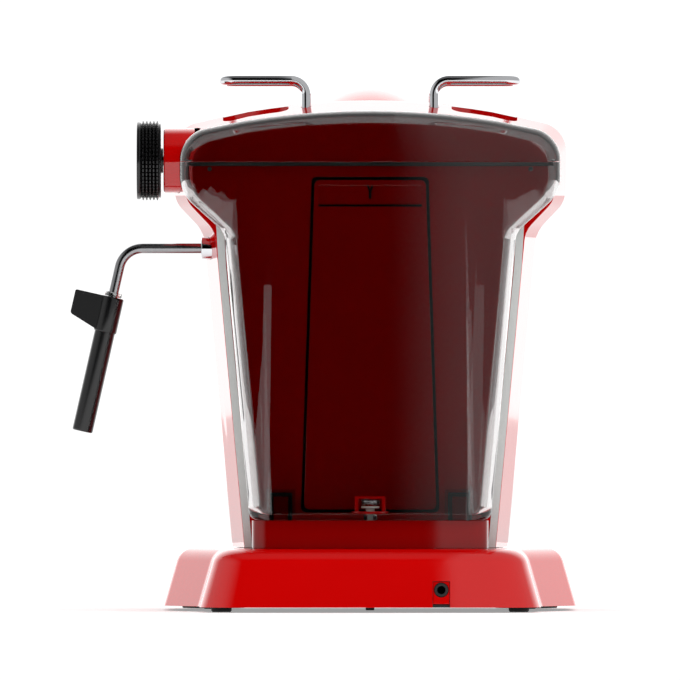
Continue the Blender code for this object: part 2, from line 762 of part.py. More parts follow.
def make_drip_tray(base_solid):
    """The tray that draws out to the front, with its grid and its float."""
    floor_z = SKIRT_FOOT_Z + PLATE_THICKNESS + SLIDE_GAP
    grid_under = BASE_TOP_Z - GRID_THICKNESS
    tray = box(
        "drip_tray",
        (-TRAY_HALF, BASE_FRONT_Y - REACH, floor_z),
        (TRAY_HALF, TRAY_REAR_Y, grid_under - GAP),
    )
    combine(tray, base_solid, "INTERSECT")
    front_inner = BASE_FRONT_Y + GRID_SETBACK + WALL
    well = box(
        "tray_well",
        (-TRAY_HALF + WALL, front_inner, floor_z + TRAY_FLOOR),
        (TRAY_HALF - WALL, TRAY_REAR_Y - WALL, BASE_TOP_Z + REACH),
    )
    combine(tray, add_cutter(well))
    add_part(tray, BLACK)

    rear = TRAY_REAR_Y - GAP
    front = BASE_FRONT_Y + GRID_SETBACK
    grid = box(
        "drip_grid",
        (-TRAY_HALF, front, grid_under),
        (TRAY_HALF, rear, BASE_TOP_Z),
    )
    middle = (front + rear) / 2
    slots = bmesh.new()
    pitch = 2 * (TRAY_HALF - GRID_MARGIN) / SLOT_COUNT
    for column in range(SLOT_COUNT):
        x = -TRAY_HALF + GRID_MARGIN + pitch * (column + 0.5)
        for side in (-1, 1):
            made = bmesh.ops.create_cube(slots, size=1.0)["verts"]
            bmesh.ops.scale(slots, vec=(SLOT_WIDTH, SLOT_LENGTH, REACH), verts=made)
            y = middle + side * (SLOT_LENGTH + GRID_STRIP) / 2
            bmesh.ops.translate(slots, vec=(x, y, BASE_TOP_Z), verts=made)
    combine(grid, add_cutter(mesh_object("grid_slots", slots)))
    hole_radius = FLOAT_STEM_RADIUS + SLIDE_GAP
    place = (0.0, middle, grid_under)
    combine(grid, add_cutter(rod("float_hole", hole_radius, -REACH, REACH, place, steps=16)))
    add_part(grid, STEEL)

    rest_z = floor_z + TRAY_FLOOR + GAP
    drip_float = turned("drip_float", [
        (0.0, BASE_TOP_Z + FLOAT_PROUD),
        (FLOAT_STEM_RADIUS, BASE_TOP_Z + FLOAT_PROUD),
        (FLOAT_STEM_RADIUS, rest_z + FLOAT_HEIGHT),
        (FLOAT_RADIUS, rest_z + FLOAT_HEIGHT),
        (FLOAT_RADIUS, rest_z),
        (0.0, rest_z),
    ], (0.0, middle, 0.0), steps=16)
    add_part(drip_float, RED)
    pivot("tray_slide", (0.0, TRAY_REAR_Y, floor_z), tray, grid, drip_float)


# ---- housing -----------------------------------------------------------------------------

def pod_profile(grow, tail_grow):
    """The gauge pod's outer side from its tail to its front, let out by grow."""
    tail = POD_TAIL_Y - POD_DRUM_REAR_Y + tail_grow
    points = []
    for step in range(7):
        turn = math.pi / 2 * step / 6
        radius = (POD_RADIUS + grow) * math.sin(turn)
        points.append((radius, POD_DRUM_REAR_Y + tail * math.cos(turn)))
    return points


def rail_legs():
    """Where the rails' four legs stand."""
    return [(x, y) for x in (-RAIL_LEG_X, RAIL_LEG_X) for y in (RAIL_REAR_Y, RAIL_FRONT_Y)]


def make_housing():
    """The red housing: column, head and rear opening, with its holes."""
    foot_z = BASE_TOP_Z + GAP
    rings = housing_rings(0.0, foot_z, HEAD_FRONT_Y, HOUSING_REAR_Y)
    housing = loft("main_housing", rings)

    far = 0.2
    under_head = [
        (COLUMN_FRONT_Y, -0.1, 0.0),
        (COLUMN_FRONT_Y, HEAD_UNDERSIDE_Z, THROAT_RADIUS),
        (HEAD_FRONT_Y - 0.1, HEAD_UNDERSIDE_Z, 0.0),
        (HEAD_FRONT_Y - 0.1, -0.1, 0.0),
    ]
    outline = rounded(under_head)
    cup_space = loft("cup_space", [sideways(outline, -far), sideways(outline, far)])
    combine(housing, add_cutter(cup_space))

    grown = inset_outline(outline, -WALL)
    keep = loft("cup_space_wall", [sideways(grown, -far), sideways(grown, far)])
    rings = housing_rings(WALL, -REACH, HEAD_FRONT_Y + WALL, HOUSING_REAR_Y - WALL)
    rings.append([(x, HOUSING_REAR_Y + REACH, z) for x, _, z in rings[-1]])
    inside = loft("housing_inside", rings)
    combine(inside, add_cutter(keep))
    for side in (-1, 1):
        # A steel cup tray lies in each pocket, so the pocket keeps its own floor and walls.
        left, right = sorted((side * CUP_TRAY_INNER_X, side * CUP_TRAY_OUTER_X))
        pocket_outline = rounded([
            (left, CUP_TRAY_FRONT_Y, CUP_TRAY_CORNER),
            (right, CUP_TRAY_FRONT_Y, CUP_TRAY_CORNER),
            (right, CUP_TRAY_REAR_Y, CUP_TRAY_CORNER),
            (left, CUP_TRAY_REAR_Y, CUP_TRAY_CORNER),
        ], 3)
        floor = CUP_TRAY_Z - CUP_TRAY_THICKNESS - GAP
        walls = inset_outline(pocket_outline, -WALL)
        box_name = "left" if side < 0 else "right"
        tub = loft(f"tray_tub_{box_name}", [flat(walls, floor - WALL), flat(walls, ROOF_Z + REACH)])
        combine(inside, add_cutter(tub))
        pocket = loft(f"tray_pocket_{box_name}",
                      [flat(pocket_outline, floor), flat(pocket_outline, ROOF_Z + REACH)])
        combine(housing, add_cutter(pocket))
        tray_plan = inset_outline(pocket_outline, GAP)
        tray_rings = [flat(tray_plan, CUP_TRAY_Z - CUP_TRAY_THICKNESS), flat(tray_plan, CUP_TRAY_Z)]
        add_part(loft(f"cup_tray_{box_name}", tray_rings), STEEL)
    combine(housing, add_cutter(inside))

    profile = pod_profile(GAP, GAP)
    profile += [(POD_RADIUS + GAP, POD_FRONT_Y - 0.05), (0.0, POD_FRONT_Y - 0.05)]
    pod_space = turned("pod_space", profile, (0.0, 0.0, POD_Z), "Y", 36)
    holes = [
        pod_space,
        rod("group_hole", GROUP_RADIUS + GAP, -WALL * 2, WALL * 2, (0, GROUP_Y, HEAD_UNDERSIDE_Z),
            steps=32),
        rod("collar_hole", COLLAR_RADIUS + GAP, -REACH, REACH,
            (HEAD_HALF, STEAM_Y, KNOB_Z), "X", 28),
        rod("wand_hole", WAND_JOINT_RADIUS + GAP, -REACH, REACH,
            (COLUMN_TOP_HALF, STEAM_Y, WAND_Z), "X"),
    ]
    for name, (x, z) in BUTTONS.items():
        place = (x, HEAD_FRONT_Y, z)
        holes.append(rod(f"{name}_hole", BUTTON_RADIUS + GAP, -REACH, REACH, place, "Y", 20))
    for index, (x, y) in enumerate(rail_legs()):
        place = (x, y, ROOF_Z)
        holes.append(rod(f"leg_hole_{index}", RAIL_WIRE + GAP, -REACH, REACH, place, steps=16))
    for hole in holes:
        combine(housing, add_cutter(hole))
    add_part(housing, RED)


def make_rails():
    """Two bent wire rails that keep cups on the roof."""
    foot = crown_height(RAIL_LEG_X, ROOF_Z, ROOF_CROWN_RADIUS) - RAIL_SUNK
    top = RAIL_Z
    for name, sign in (("left", -1), ("right", 1)):
        inner = sign * RAIL_LEG_X
        outer = sign * RAIL_OUTER_X
        path = rounded_3d([
            (inner, RAIL_REAR_Y, foot),
            (inner, RAIL_REAR_Y, top),
            (outer, RAIL_REAR_Y, top),
            (outer, RAIL_FRONT_Y, top),
            (inner, RAIL_FRONT_Y, top),
            (inner, RAIL_FRONT_Y, foot),
        ], RAIL_BEND)
        add_part(wire(f"cup_rail_{name}", path, RAIL_WIRE), CHROME)


def trapezoid(grow):
    """The service panel's outline in (x, z), let out by grow."""
    return rounded([
        (-PANEL_FOOT_HALF - grow, PANEL_FOOT_Z - grow, PANEL_CORNER),
        (PANEL_FOOT_HALF + grow, PANEL_FOOT_Z - grow, PANEL_CORNER),
        (PANEL_TOP_HALF + grow, PANEL_TOP_Z + grow, PANEL_CORNER),
        (-PANEL_TOP_HALF - grow, PANEL_TOP_Z + grow, PANEL_CORNER),
    ], 2)


def make_rear_wall():
    """The cover that closes the housing behind the tank, with its service panel."""
    front = HOUSING_REAR_Y + GAP
    rear = front + COVER_THICKNESS
    outline = housing_outline(REAR_TAPER[1], BASE_TOP_Z + GAP)
    cover = loft("rear_cover", [upright(outline, front), upright(outline, rear)])
    opening = trapezoid(PANEL_GROOVE / 2)
    window = loft("panel_window", [upright(opening, front - WALL), upright(opening, rear + WALL)])
    combine(cover, add_cutter(window))
    hose_place = (0.0, front, BASE_TOP_Z + SUCTION_RISE)
    combine(cover, add_cutter(rod("cover_hose_hole", HOSE_RADIUS + GAP, -REACH, REACH, hose_place, "Y")))
    add_part(cover, RED)
    panel_plan = trapezoid(-PANEL_GROOVE / 2)
    panel = loft("service_panel", [upright(panel_plan, front), upright(panel_plan, rear)])
    recess = box(
        "grip_recess",
        (-GRIP_HALF, rear - GRIP_DEPTH, GRIP_FOOT_Z),
        (GRIP_HALF, rear + REACH, GRIP_TOP_Z),
    )
    combine(panel, add_cutter(recess))
    add_part(panel, RED)

    low = BASE_TOP_Z + SPLASH_FOOT_RISE
    high = HEAD_UNDERSIDE_Z - SPLASH_TOP_DROP
    plan = rounded([
        (-SPLASH_FOOT_HALF, low, SPLASH_CORNER),
        (SPLASH_FOOT_HALF, low, SPLASH_CORNER),
        (SPLASH_TOP_HALF, high, SPLASH_CORNER),
        (-SPLASH_TOP_HALF, high, SPLASH_CORNER),
    ], 4)
    face = COLUMN_FRONT_Y - GAP
    splash = loft("splash_panel", [upright(plan, face - SPLASH_THICKNESS), upright(plan, face)])
    add_part(splash, STEEL)


# ---- gauge and buttons -------------------------------------------------------------------

def make_gauge():
    """The pod that runs back into the roof, and the gauge in its front."""
    outer = pod_profile(0.0, 0.0) + [(POD_RADIUS, POD_FRONT_Y)]
    inner = pod_profile(-WALL, -WALL) + [(POD_RADIUS - WALL, POD_FRONT_Y)]
    pod = turned("gauge_pod", outer + inner[::-1], (0.0, 0.0, POD_Z), "Y", 36)
    below = box(
        "pod_underside",
        (-POD_RADIUS - REACH, POD_DRUM_REAR_Y, POD_Z - POD_RADIUS - REACH),
        (POD_RADIUS + REACH, POD_TAIL_Y + REACH, POD_CUT_Z),
    )
    combine(pod, add_cutter(below))
    add_part(pod, RED)

    bore = POD_RADIUS - WALL - GAP
    place = (0.0, 0.0, POD_Z)
    add_part(rod("gauge_dial", bore, DIAL_Y, DIAL_Y + DIAL_THICKNESS, place, "Y", 36), WHITE)
    inner = POD_RADIUS - BEZEL_WIDTH
    front = POD_FRONT_Y - GAP
    bezel = turned("gauge_bezel", [
        (POD_RADIUS, front),
        (POD_RADIUS + BEZEL_LIP, front - BEZEL_DEPTH * 0.45),
        (POD_RADIUS - BEZEL_LIP * 3, front - BEZEL_DEPTH * 0.87),
        (POD_RADIUS - BEZEL_LIP * 9, front - BEZEL_DEPTH),
        (inner, front - BEZEL_DEPTH * 0.65),
        (inner, front - GAP),
        (inner - BEZEL_LIP * 3, front),
    ], place, "Y", 36, closed=True)
    add_part(bezel, CHROME)
    lens_front = front + SLIDE_GAP
    lens_rear = lens_front + LENS_THICKNESS
    lens = rod("gauge_lens", bore - LENS_FIT, lens_front, lens_rear, place, "Y", 36)
    add_part(lens, CLEAR)

    hub_front = DIAL_Y - HUB_HEIGHT
    needle = rod("gauge_needle", HUB_RADIUS, hub_front, DIAL_Y - GAP, place, "Y", 20)
    pointer_y = DIAL_Y - POINTER_HEIGHT
    pointer = add_cutter(box(
        "pointer",
        (-NEEDLE_LENGTH, pointer_y, POD_Z - POINTER_HALF),
        (POINTER_TAIL, pointer_y + POINTER_THICKNESS, POD_Z + POINTER_HALF),
    ))
    combine(needle, pointer, "UNION")
    add_part(needle, BLACK)


def make_buttons():
    """Push buttons whose inner flange stays behind the housing's front wall."""
    wall_back = HEAD_FRONT_Y + WALL
    for name, (x, z) in BUTTONS.items():
        button = turned(name, [
            (0.0, wall_back + BUTTON_FLANGE_BACK),
            (BUTTON_RADIUS + BUTTON_FLANGE, wall_back + BUTTON_FLANGE_BACK),
            (BUTTON_RADIUS + BUTTON_FLANGE, wall_back + SLIDE_GAP),
            (BUTTON_RADIUS, wall_back + SLIDE_GAP),
            (BUTTON_RADIUS, HEAD_FRONT_Y - BUTTON_PROUD + BUTTON_EDGE),
            (BUTTON_RADIUS - BUTTON_EDGE, HEAD_FRONT_Y - BUTTON_PROUD),
            (0.0, HEAD_FRONT_Y - BUTTON_PROUD),
        ], (x, 0.0, z), "Y", 20)
        add_part(button, BLACK if name == "power_button" else STEEL)


# ---- brewing group and portafilter -------------------------------------------------------

def arc_block(name, inner, outer, start, end, low, high):
    """A block that follows an arc about the group's axis."""
    steps = 5
    turns = [start + (end - start) * step / steps for step in range(steps + 1)]
    outline = [Vector((outer * math.cos(t), GROUP_Y + outer * math.sin(t))) for t in turns]
    outline += [Vector((inner * math.cos(t), GROUP_Y + inner * math.sin(t)))
                for t in reversed(turns)]
    return loft(name, [flat(outline, low), flat(outline, high)])


def make_group():
    """The group head under the boiler, with its gasket and screen."""
    place = (0.0, GROUP_Y, 0.0)
    group = turned("group_head", [
        (0.0, GROUP_TOP_Z),
        (GROUP_RADIUS, GROUP_TOP_Z),
        (GROUP_RADIUS, GROUP_FOOT_Z + GROUP_EDGE),
        (GROUP_RADIUS - GROUP_EDGE, GROUP_FOOT_Z),
        (GROUP_BORE, GROUP_FOOT_Z),
        (GROUP_BORE, GROUP_CEILING_Z),
        (0.0, GROUP_CEILING_Z),
    ], place, steps=32)
    for index in range(2):
        # Each ledge carries one lug of the filter holder.
        turn = math.pi / 2 + index * math.pi
        ledge = arc_block(
            f"ledge_{index}", HOLDER_RADIUS + SLIDE_GAP, GROUP_BORE + LUG_ROOT,
            turn - LUG_SWEEP / 2 - LEDGE_LEAD, turn + LUG_SWEEP / 2 + LEDGE_STOP,
            GROUP_FOOT_Z, GROUP_FOOT_Z + LEDGE_THICKNESS,
        )
        combine(group, add_cutter(ledge), "UNION")
    add_part(group, ALUMINIUM)

    gasket_z = GROUP_CEILING_Z - GAP
    gasket_inner = BASKET_RADIUS - LUG_ROOT
    gasket = ring("group_gasket", GROUP_BORE - GAP, gasket_inner,
                  gasket_z - GASKET_THICKNESS, gasket_z, place, steps=28)
    add_part(gasket, RUBBER)
    screen_top = gasket_z - SCREEN_DROP
    screen_foot = screen_top - SCREEN_THICKNESS
    screen = turned("shower_screen", [
        (0.0, gasket_z),
        (SCREW_RADIUS, gasket_z),
        (SCREW_RADIUS, screen_top),
        (gasket_inner - GAP, screen_top),
        (gasket_inner - GAP, screen_foot),
        (SCREW_RADIUS * 0.75, screen_foot),
        (0.0, screen_foot - SCREEN_THICKNESS),
    ], place, steps=28)
    add_part(screen, STEEL)


def mesh_from_curve(obj):
    """A mesh object with a curve's shape and welded caps, in place of the curve."""
    holder = bpy.context.scene.collection
    holder.objects.link(obj)
    bpy.context.view_layer.update()
    evaluated = obj.evaluated_get(bpy.context.evaluated_depsgraph_get())
    mesh = bpy.data.meshes.new_from_object(evaluated)
    bm = bmesh.new()
    bm.from_mesh(mesh)
    bmesh.ops.remove_doubles(bm, verts=bm.verts, dist=0.00001)
    bmesh.ops.recalc_face_normals(bm, faces=bm.faces)
    bm.to_mesh(mesh)
    bm.free()
    name = obj.name
    matrix = obj.matrix_world.copy()
    bpy.data.objects.remove(obj, do_unlink=True)
    result = bpy.data.objects.new(name, mesh)
    result.matrix_world = matrix
    return result


def make_portafilter():
    """Filter holder, basket, handle and spout, which turn about the group's axis."""
    place = (0.0, GROUP_Y, 0.0)
    lug_low = GROUP_FOOT_Z + LEDGE_THICKNESS + GAP
    rim_z = GROUP_CEILING_Z - GASKET_THICKNESS - 2 * GAP - BASKET_WALL
    floor = HOLDER_FLOOR_Z
    outlet_z = floor - OUTLET_DROP
    turn_in, turn_up = HOLDER_TURN
    holder = turned("filter_holder", [
        (HOLDER_RADIUS - HOLDER_WALL, rim_z - GAP),
        (HOLDER_RADIUS, rim_z - GAP),
        (HOLDER_RADIUS, floor + OUTLET_DROP / 2 + turn_up),
        (HOLDER_RADIUS - turn_in, floor + OUTLET_DROP / 2),
        (OUTLET_NECK, outlet_z),
        (OUTLET_RADIUS, outlet_z),
        (OUTLET_RADIUS, floor + OUTLET_DROP / 2),
        (HOLDER_RADIUS - HOLDER_WALL, floor + OUTLET_DROP * 2),
    ], place, steps=28, closed=True)
    for index in range(2):
        turn = math.pi / 2 + index * math.pi
        lug = arc_block(
            f"lug_{index}", HOLDER_RADIUS - LUG_ROOT, GROUP_BORE - SLIDE_GAP,
            turn - LUG_SWEEP / 2, turn + LUG_SWEEP / 2, lug_low, lug_low + LUG_THICKNESS,
        )
        combine(holder, add_cutter(lug), "UNION")
    boss_place = (0.0, GROUP_Y, HANDLE_Z)
    boss_end = -HOLDER_RADIUS - BOSS_LENGTH
    boss = rod("handle_boss", BOSS_RADIUS, boss_end, -HOLDER_RADIUS + HOLDER_WALL / 2, boss_place, "Y")
    combine(holder, add_cutter(boss), "UNION")
    add_part(holder, CHROME)

    start = boss_end - GAP
    handle = turned("portafilter_handle", [
        (0.0, start),
        (HANDLE_RADIUS * 0.73, start),
        (HANDLE_RADIUS * 0.77, start - HANDLE_LENGTH * 0.09),
        (HANDLE_RADIUS * 0.88, start - HANDLE_LENGTH * 0.35),
        (HANDLE_RADIUS, start - HANDLE_LENGTH * 0.60),
        (HANDLE_RADIUS * 0.92, start - HANDLE_LENGTH * 0.85),
        (HANDLE_RADIUS * 0.65, start - HANDLE_LENGTH * 0.97),
        (0.0, start - HANDLE_LENGTH),
    ], boss_place, "Y", 20)
    add_part(handle, BLACK)

    rim_top = rim_z + BASKET_WALL
    inner = BASKET_RADIUS - BASKET_WALL
    basket_floor = rim_top - BASKET_DEPTH
    outer = HOLDER_RADIUS - SLIDE_GAP
    foot_in, foot_up = BASKET_TURN
    basket = turned("filter_basket", [
        (0.0, basket_floor + BASKET_WALL),
        (inner - foot_in, basket_floor + BASKET_WALL),
        (inner, basket_floor + foot_up),
        (inner, rim_top),
        (outer, rim_top),
        (outer, rim_z),
        (BASKET_RADIUS, rim_z),
        (BASKET_RADIUS, basket_floor + foot_up),
        (BASKET_RADIUS - foot_in, basket_floor),
        (0.0, basket_floor),
    ], place, steps=28)
    add_part(basket, STEEL)

    neck = outlet_z - GAP
    spout = rod("spout", SPOUT_RADIUS, neck - SPOUT_LENGTH, neck, place, steps=20)
    for side in (-1, 1):
        name = "left" if side < 0 else "right"
        lip = add_cutter(mesh_from_curve(wire(f"spout_lip_{name}", [
            (0.0, GROUP_Y, neck - SPOUT_LENGTH * 0.62),
            (side * SPOUT_SPREAD * 0.48, GROUP_Y, neck - SPOUT_LENGTH * 0.71),
            (side * SPOUT_SPREAD * 0.85, GROUP_Y, neck - SPOUT_LENGTH * 1.12),
            (side * SPOUT_SPREAD, GROUP_Y, SPOUT_Z),
        ], SPOUT_LIP_RADIUS)))
        combine(spout, lip, "UNION")
    add_part(spout, CHROME)
    pivot("portafilter_axis", (0.0, GROUP_Y, GROUP_FOOT_Z), holder, handle, basket, spout)


# ---- boiler, pump and pipes --------------------------------------------------------------

def make_boiler():
    """The two halves of the boiler, bolted together over the group."""
    place = (0.0, GROUP_Y, 0.0)
    flange = BOILER_RADIUS + BOILER_FLANGE
    side = BOILER_RADIUS - BOILER_STEP
    lower = turned("boiler_lower", [
        (0.0, BOILER_SPLIT_Z),
        (flange, BOILER_SPLIT_Z),
        (flange, BOILER_SPLIT_Z - BOILER_FLANGE_THICKNESS),
        (side, BOILER_SPLIT_Z - BOILER_FLANGE_THICKNESS),
        (side, GROUP_TOP_Z + GAP),
        (0.0, GROUP_TOP_Z + GAP),
    ], place, steps=28)
    add_part(lower, ALUMINIUM)
    split = BOILER_SPLIT_Z + GAP
    upper = turned("boiler_upper", [
        (0.0, BOILER_TOP_Z),
        (side - BOILER_DOME, BOILER_TOP_Z),
        (side, BOILER_TOP_Z - BOILER_DOME),
        (side, split + BOILER_FLANGE_THICKNESS),
        (flange, split + BOILER_FLANGE_THICKNESS),
        (flange, split),
        (side - BOILER_WALL, split),
        (side - BOILER_WALL, BOILER_TOP_Z - BOILER_DOME),
        (0.0, BOILER_TOP_Z - BOILER_WALL),
    ], place, steps=28)
    add_part(upper, ALUMINIUM)


def boiler_side_y(x):
    """Rear side of the boiler at x."""
    radius = BOILER_RADIUS - BOILER_STEP
    return GROUP_Y + math.sqrt(radius * radius - x * x)


def make_pump():
    """The vibration pump on its rubber mount, and the hoses and pipes."""
    width, depth, height = PUMP_SIZE
    low = (PUMP_X - width / 2, PUMP_Y - depth / 2, PUMP_FOOT_Z)
    high = (PUMP_X + width / 2, PUMP_Y + depth / 2, PUMP_FOOT_Z + height)
    pump = box("pump_body", low, high)
    stub_top = height + STUB_TOP
    stub = rod("pump_stubs", STUB_RADIUS, -STUB_FOOT, stub_top, (PUMP_X, PUMP_Y, PUMP_FOOT_Z))
    combine(pump, add_cutter(stub), "UNION")
    add_part(pump, BLACK)
    mount = ring("pump_mount", MOUNT_RADIUS, STUB_RADIUS + GAP, -MOUNT_HEIGHT, -GAP,
                 (PUMP_X, PUMP_Y, PUMP_FOOT_Z), steps=24)
    add_part(mount, RUBBER)

    hose_z = BASE_TOP_Z + SUCTION_RISE
    start = (0.0, TANK_FRONT_Y - GAP, hose_z)
    suction = rounded_3d([
        start,
        (0.0, PUMP_Y, hose_z),
        (PUMP_X, PUMP_Y, hose_z),
        (PUMP_X, PUMP_Y, PUMP_FOOT_Z - STUB_FOOT - GAP),
    ], HOSE_BEND, 4)
    add_part(wire("suction_hose", suction, HOSE_RADIUS), SILICONE)

    top = PUMP_FOOT_Z + stub_top + GAP
    pressure = rounded_3d([
        (PUMP_X, PUMP_Y, top),
        (PUMP_X, PUMP_Y, PRESSURE_Z),
        (PRESSURE_X, GROUP_Y + BOILER_RADIUS + HOSE_BEND, PRESSURE_Z),
        (PRESSURE_X, boiler_side_y(PRESSURE_X) + BOILER_FLANGE + GAP, PRESSURE_Z),
    ], PIPE_BEND, 4)
    add_part(wire("pressure_hose", pressure, HOSE_RADIUS * 0.75), SILICONE)


# ---- steam side --------------------------------------------------------------------------

def make_steam_side():
    """The steam valve, its knob and collar, and the wand on its swivel joint."""
    axis_place = (0.0, STEAM_Y, KNOB_Z)
    inner_x = COLLAR_OUTER_X - COLLAR_DEPTH
    bore_start = inner_x - SPINDLE_SUNK
    valve = turned("steam_valve_body", [
        (0.0, VALVE_START_X),
        (VALVE_BODY_RADIUS * 0.7, VALVE_START_X),
        (VALVE_BODY_RADIUS * 0.7, VALVE_START_X + VALVE_NECK_LENGTH),
        (VALVE_BODY_RADIUS, VALVE_START_X + VALVE_NECK_LENGTH),
        (VALVE_BODY_RADIUS, inner_x - GAP),
        (SPINDLE_RADIUS + GAP, inner_x - GAP),
        (SPINDLE_RADIUS + GAP, bore_start),
        (0.0, bore_start),
    ][::-1], axis_place, "X", 20)
    add_part(valve, BRASS)
    collar = turned("steam_collar", [
        (COLLAR_RADIUS, COLLAR_OUTER_X - KNOB_EDGE),
        (COLLAR_RADIUS, inner_x),
        (SPINDLE_RADIUS + SLIDE_GAP, inner_x),
        (SPINDLE_RADIUS + SLIDE_GAP, COLLAR_OUTER_X),
        (COLLAR_RADIUS - KNOB_EDGE, COLLAR_OUTER_X),
    ], axis_place, "X", 28, closed=True)
    add_part(collar, RED)
    spindle_end = KNOB_INNER_X + SPINDLE_PROUD
    spindle = rod("valve_spindle", SPINDLE_RADIUS, bore_start + GAP, spindle_end, axis_place, "X", 20)
    add_part(spindle, STEEL)
    knob = turned("steam_knob", [
        (0.0, KNOB_OUTER_X),
        (KNOB_RADIUS - KNOB_EDGE * 4, KNOB_OUTER_X),
        (KNOB_RADIUS, KNOB_OUTER_X - KNOB_EDGE * 1.5),
        (KNOB_RADIUS, KNOB_INNER_X + KNOB_EDGE),
        (KNOB_RADIUS - KNOB_EDGE, KNOB_INNER_X),
        (KNOB_HUB_RADIUS, KNOB_INNER_X),
        (KNOB_HUB_RADIUS, COLLAR_OUTER_X + GAP),
        (SPINDLE_RADIUS + GAP, COLLAR_OUTER_X + GAP),
        (SPINDLE_RADIUS + GAP, spindle_end + GAP),
        (0.0, spindle_end + GAP),
    ], axis_place, "X", 28)
    add_part(knob, BLACK)
    pivot("steam_axis", axis_place, spindle, knob)

    joint_x = COLUMN_TOP_HALF + WAND_JOINT_PROUD
    joint_start = joint_x - WAND_JOINT_LENGTH
    joint = ring("wand_joint", WAND_JOINT_RADIUS, WAND_TUBE_RADIUS + GAP, joint_start,
                 joint_x, (0.0, STEAM_Y, WAND_Z), "X", 20)
    add_part(joint, CHROME)
    pipe_x = joint_x - PIPE_SET_BACK
    pipe_top = KNOB_Z - VALVE_BODY_RADIUS - GAP * 3
    steam_pipe = wire("steam_pipe", [
        (pipe_x, STEAM_Y, pipe_top),
        (pipe_x, STEAM_Y, WAND_Z + WAND_JOINT_RADIUS + GAP),
    ], PIPE_RADIUS)
    add_part(steam_pipe, BRASS)
    boiler_x = BOILER_RADIUS - BOILER_STEP + BOILER_FLANGE + GAP
    feed = rounded_3d([
        (boiler_x, GROUP_Y, KNOB_Z - FEED_DROP),
        (FEED_X, GROUP_Y, KNOB_Z - FEED_DROP),
        (FEED_X, STEAM_Y, KNOB_Z),
        (VALVE_START_X - GAP, STEAM_Y, KNOB_Z),
    ], PIPE_BEND, 4)
    add_part(wire("steam_feed_pipe", feed, PIPE_RADIUS), BRASS)

    # The wand leaves the joint level, then bends down and leans away from the base.
    along = Vector((math.sin(WAND_LEAN), 0.0, -math.cos(WAND_LEAN)))
    corner = Vector((WAND_CORNER_X, STEAM_Y, WAND_Z))
    tube_end = corner + along * (SLEEVE_START + SLEEVE_LENGTH * 0.75)
    path = rounded_3d([(joint_start + GAP * 7, STEAM_Y, WAND_Z), corner, tube_end], WAND_BEND, 8)
    tube = add_part(wire("wand_tube", path, WAND_TUBE_RADIUS, 3), STEEL)
    lean = (0.0, math.pi - WAND_LEAN, 0.0)
    start = SLEEVE_START + GAP
    band = ring("wand_ring", WAND_RING_RADIUS, WAND_TUBE_RADIUS + GAP, start - WAND_RING_LENGTH, start - GAP,
                corner, lean, 16)
    add_part(band, CLEAR)
    lower = start + SLEEVE_COLLAR_LENGTH
    end = SLEEVE_START + SLEEVE_LENGTH
    bore = WAND_TUBE_RADIUS + GAP
    sleeve = turned("wand_sleeve", [
        (SLEEVE_RADIUS, end - KNOB_EDGE),
        (SLEEVE_RADIUS, lower),
        (SLEEVE_COLLAR_RADIUS, lower),
        (SLEEVE_COLLAR_RADIUS, start),
        (bore, start),
        (bore, end),
        (SLEEVE_RADIUS - KNOB_EDGE, end),
    ], corner, lean, 20, closed=True)
    outward = Vector((math.cos(WAND_LEAN), 0.0, math.sin(WAND_LEAN)))
    tab_outline = [
        (SLEEVE_COLLAR_RADIUS - TAB_SUNK, start + GAP),
        (TAB_REACH, start + GAP),
        (TAB_REACH, start + TAB_EDGE),
        (SLEEVE_COLLAR_RADIUS - TAB_SUNK, lower - GAP),
    ]
    sides = []
    for side in (-1, 1):
        y = Vector((0.0, side * TAB_THICKNESS / 2, 0.0))
        sides.append([corner + outward * out + along * down + y for out, down in tab_outline])
    combine(sleeve, add_cutter(loft("thumb_tab", sides)), "UNION")
    add_part(sleeve, BLACK)
    pivot("wand_axis", (joint_x, STEAM_Y, WAND_Z), tube, band, sleeve)


# ---- water tank --------------------------------------------------------------------------

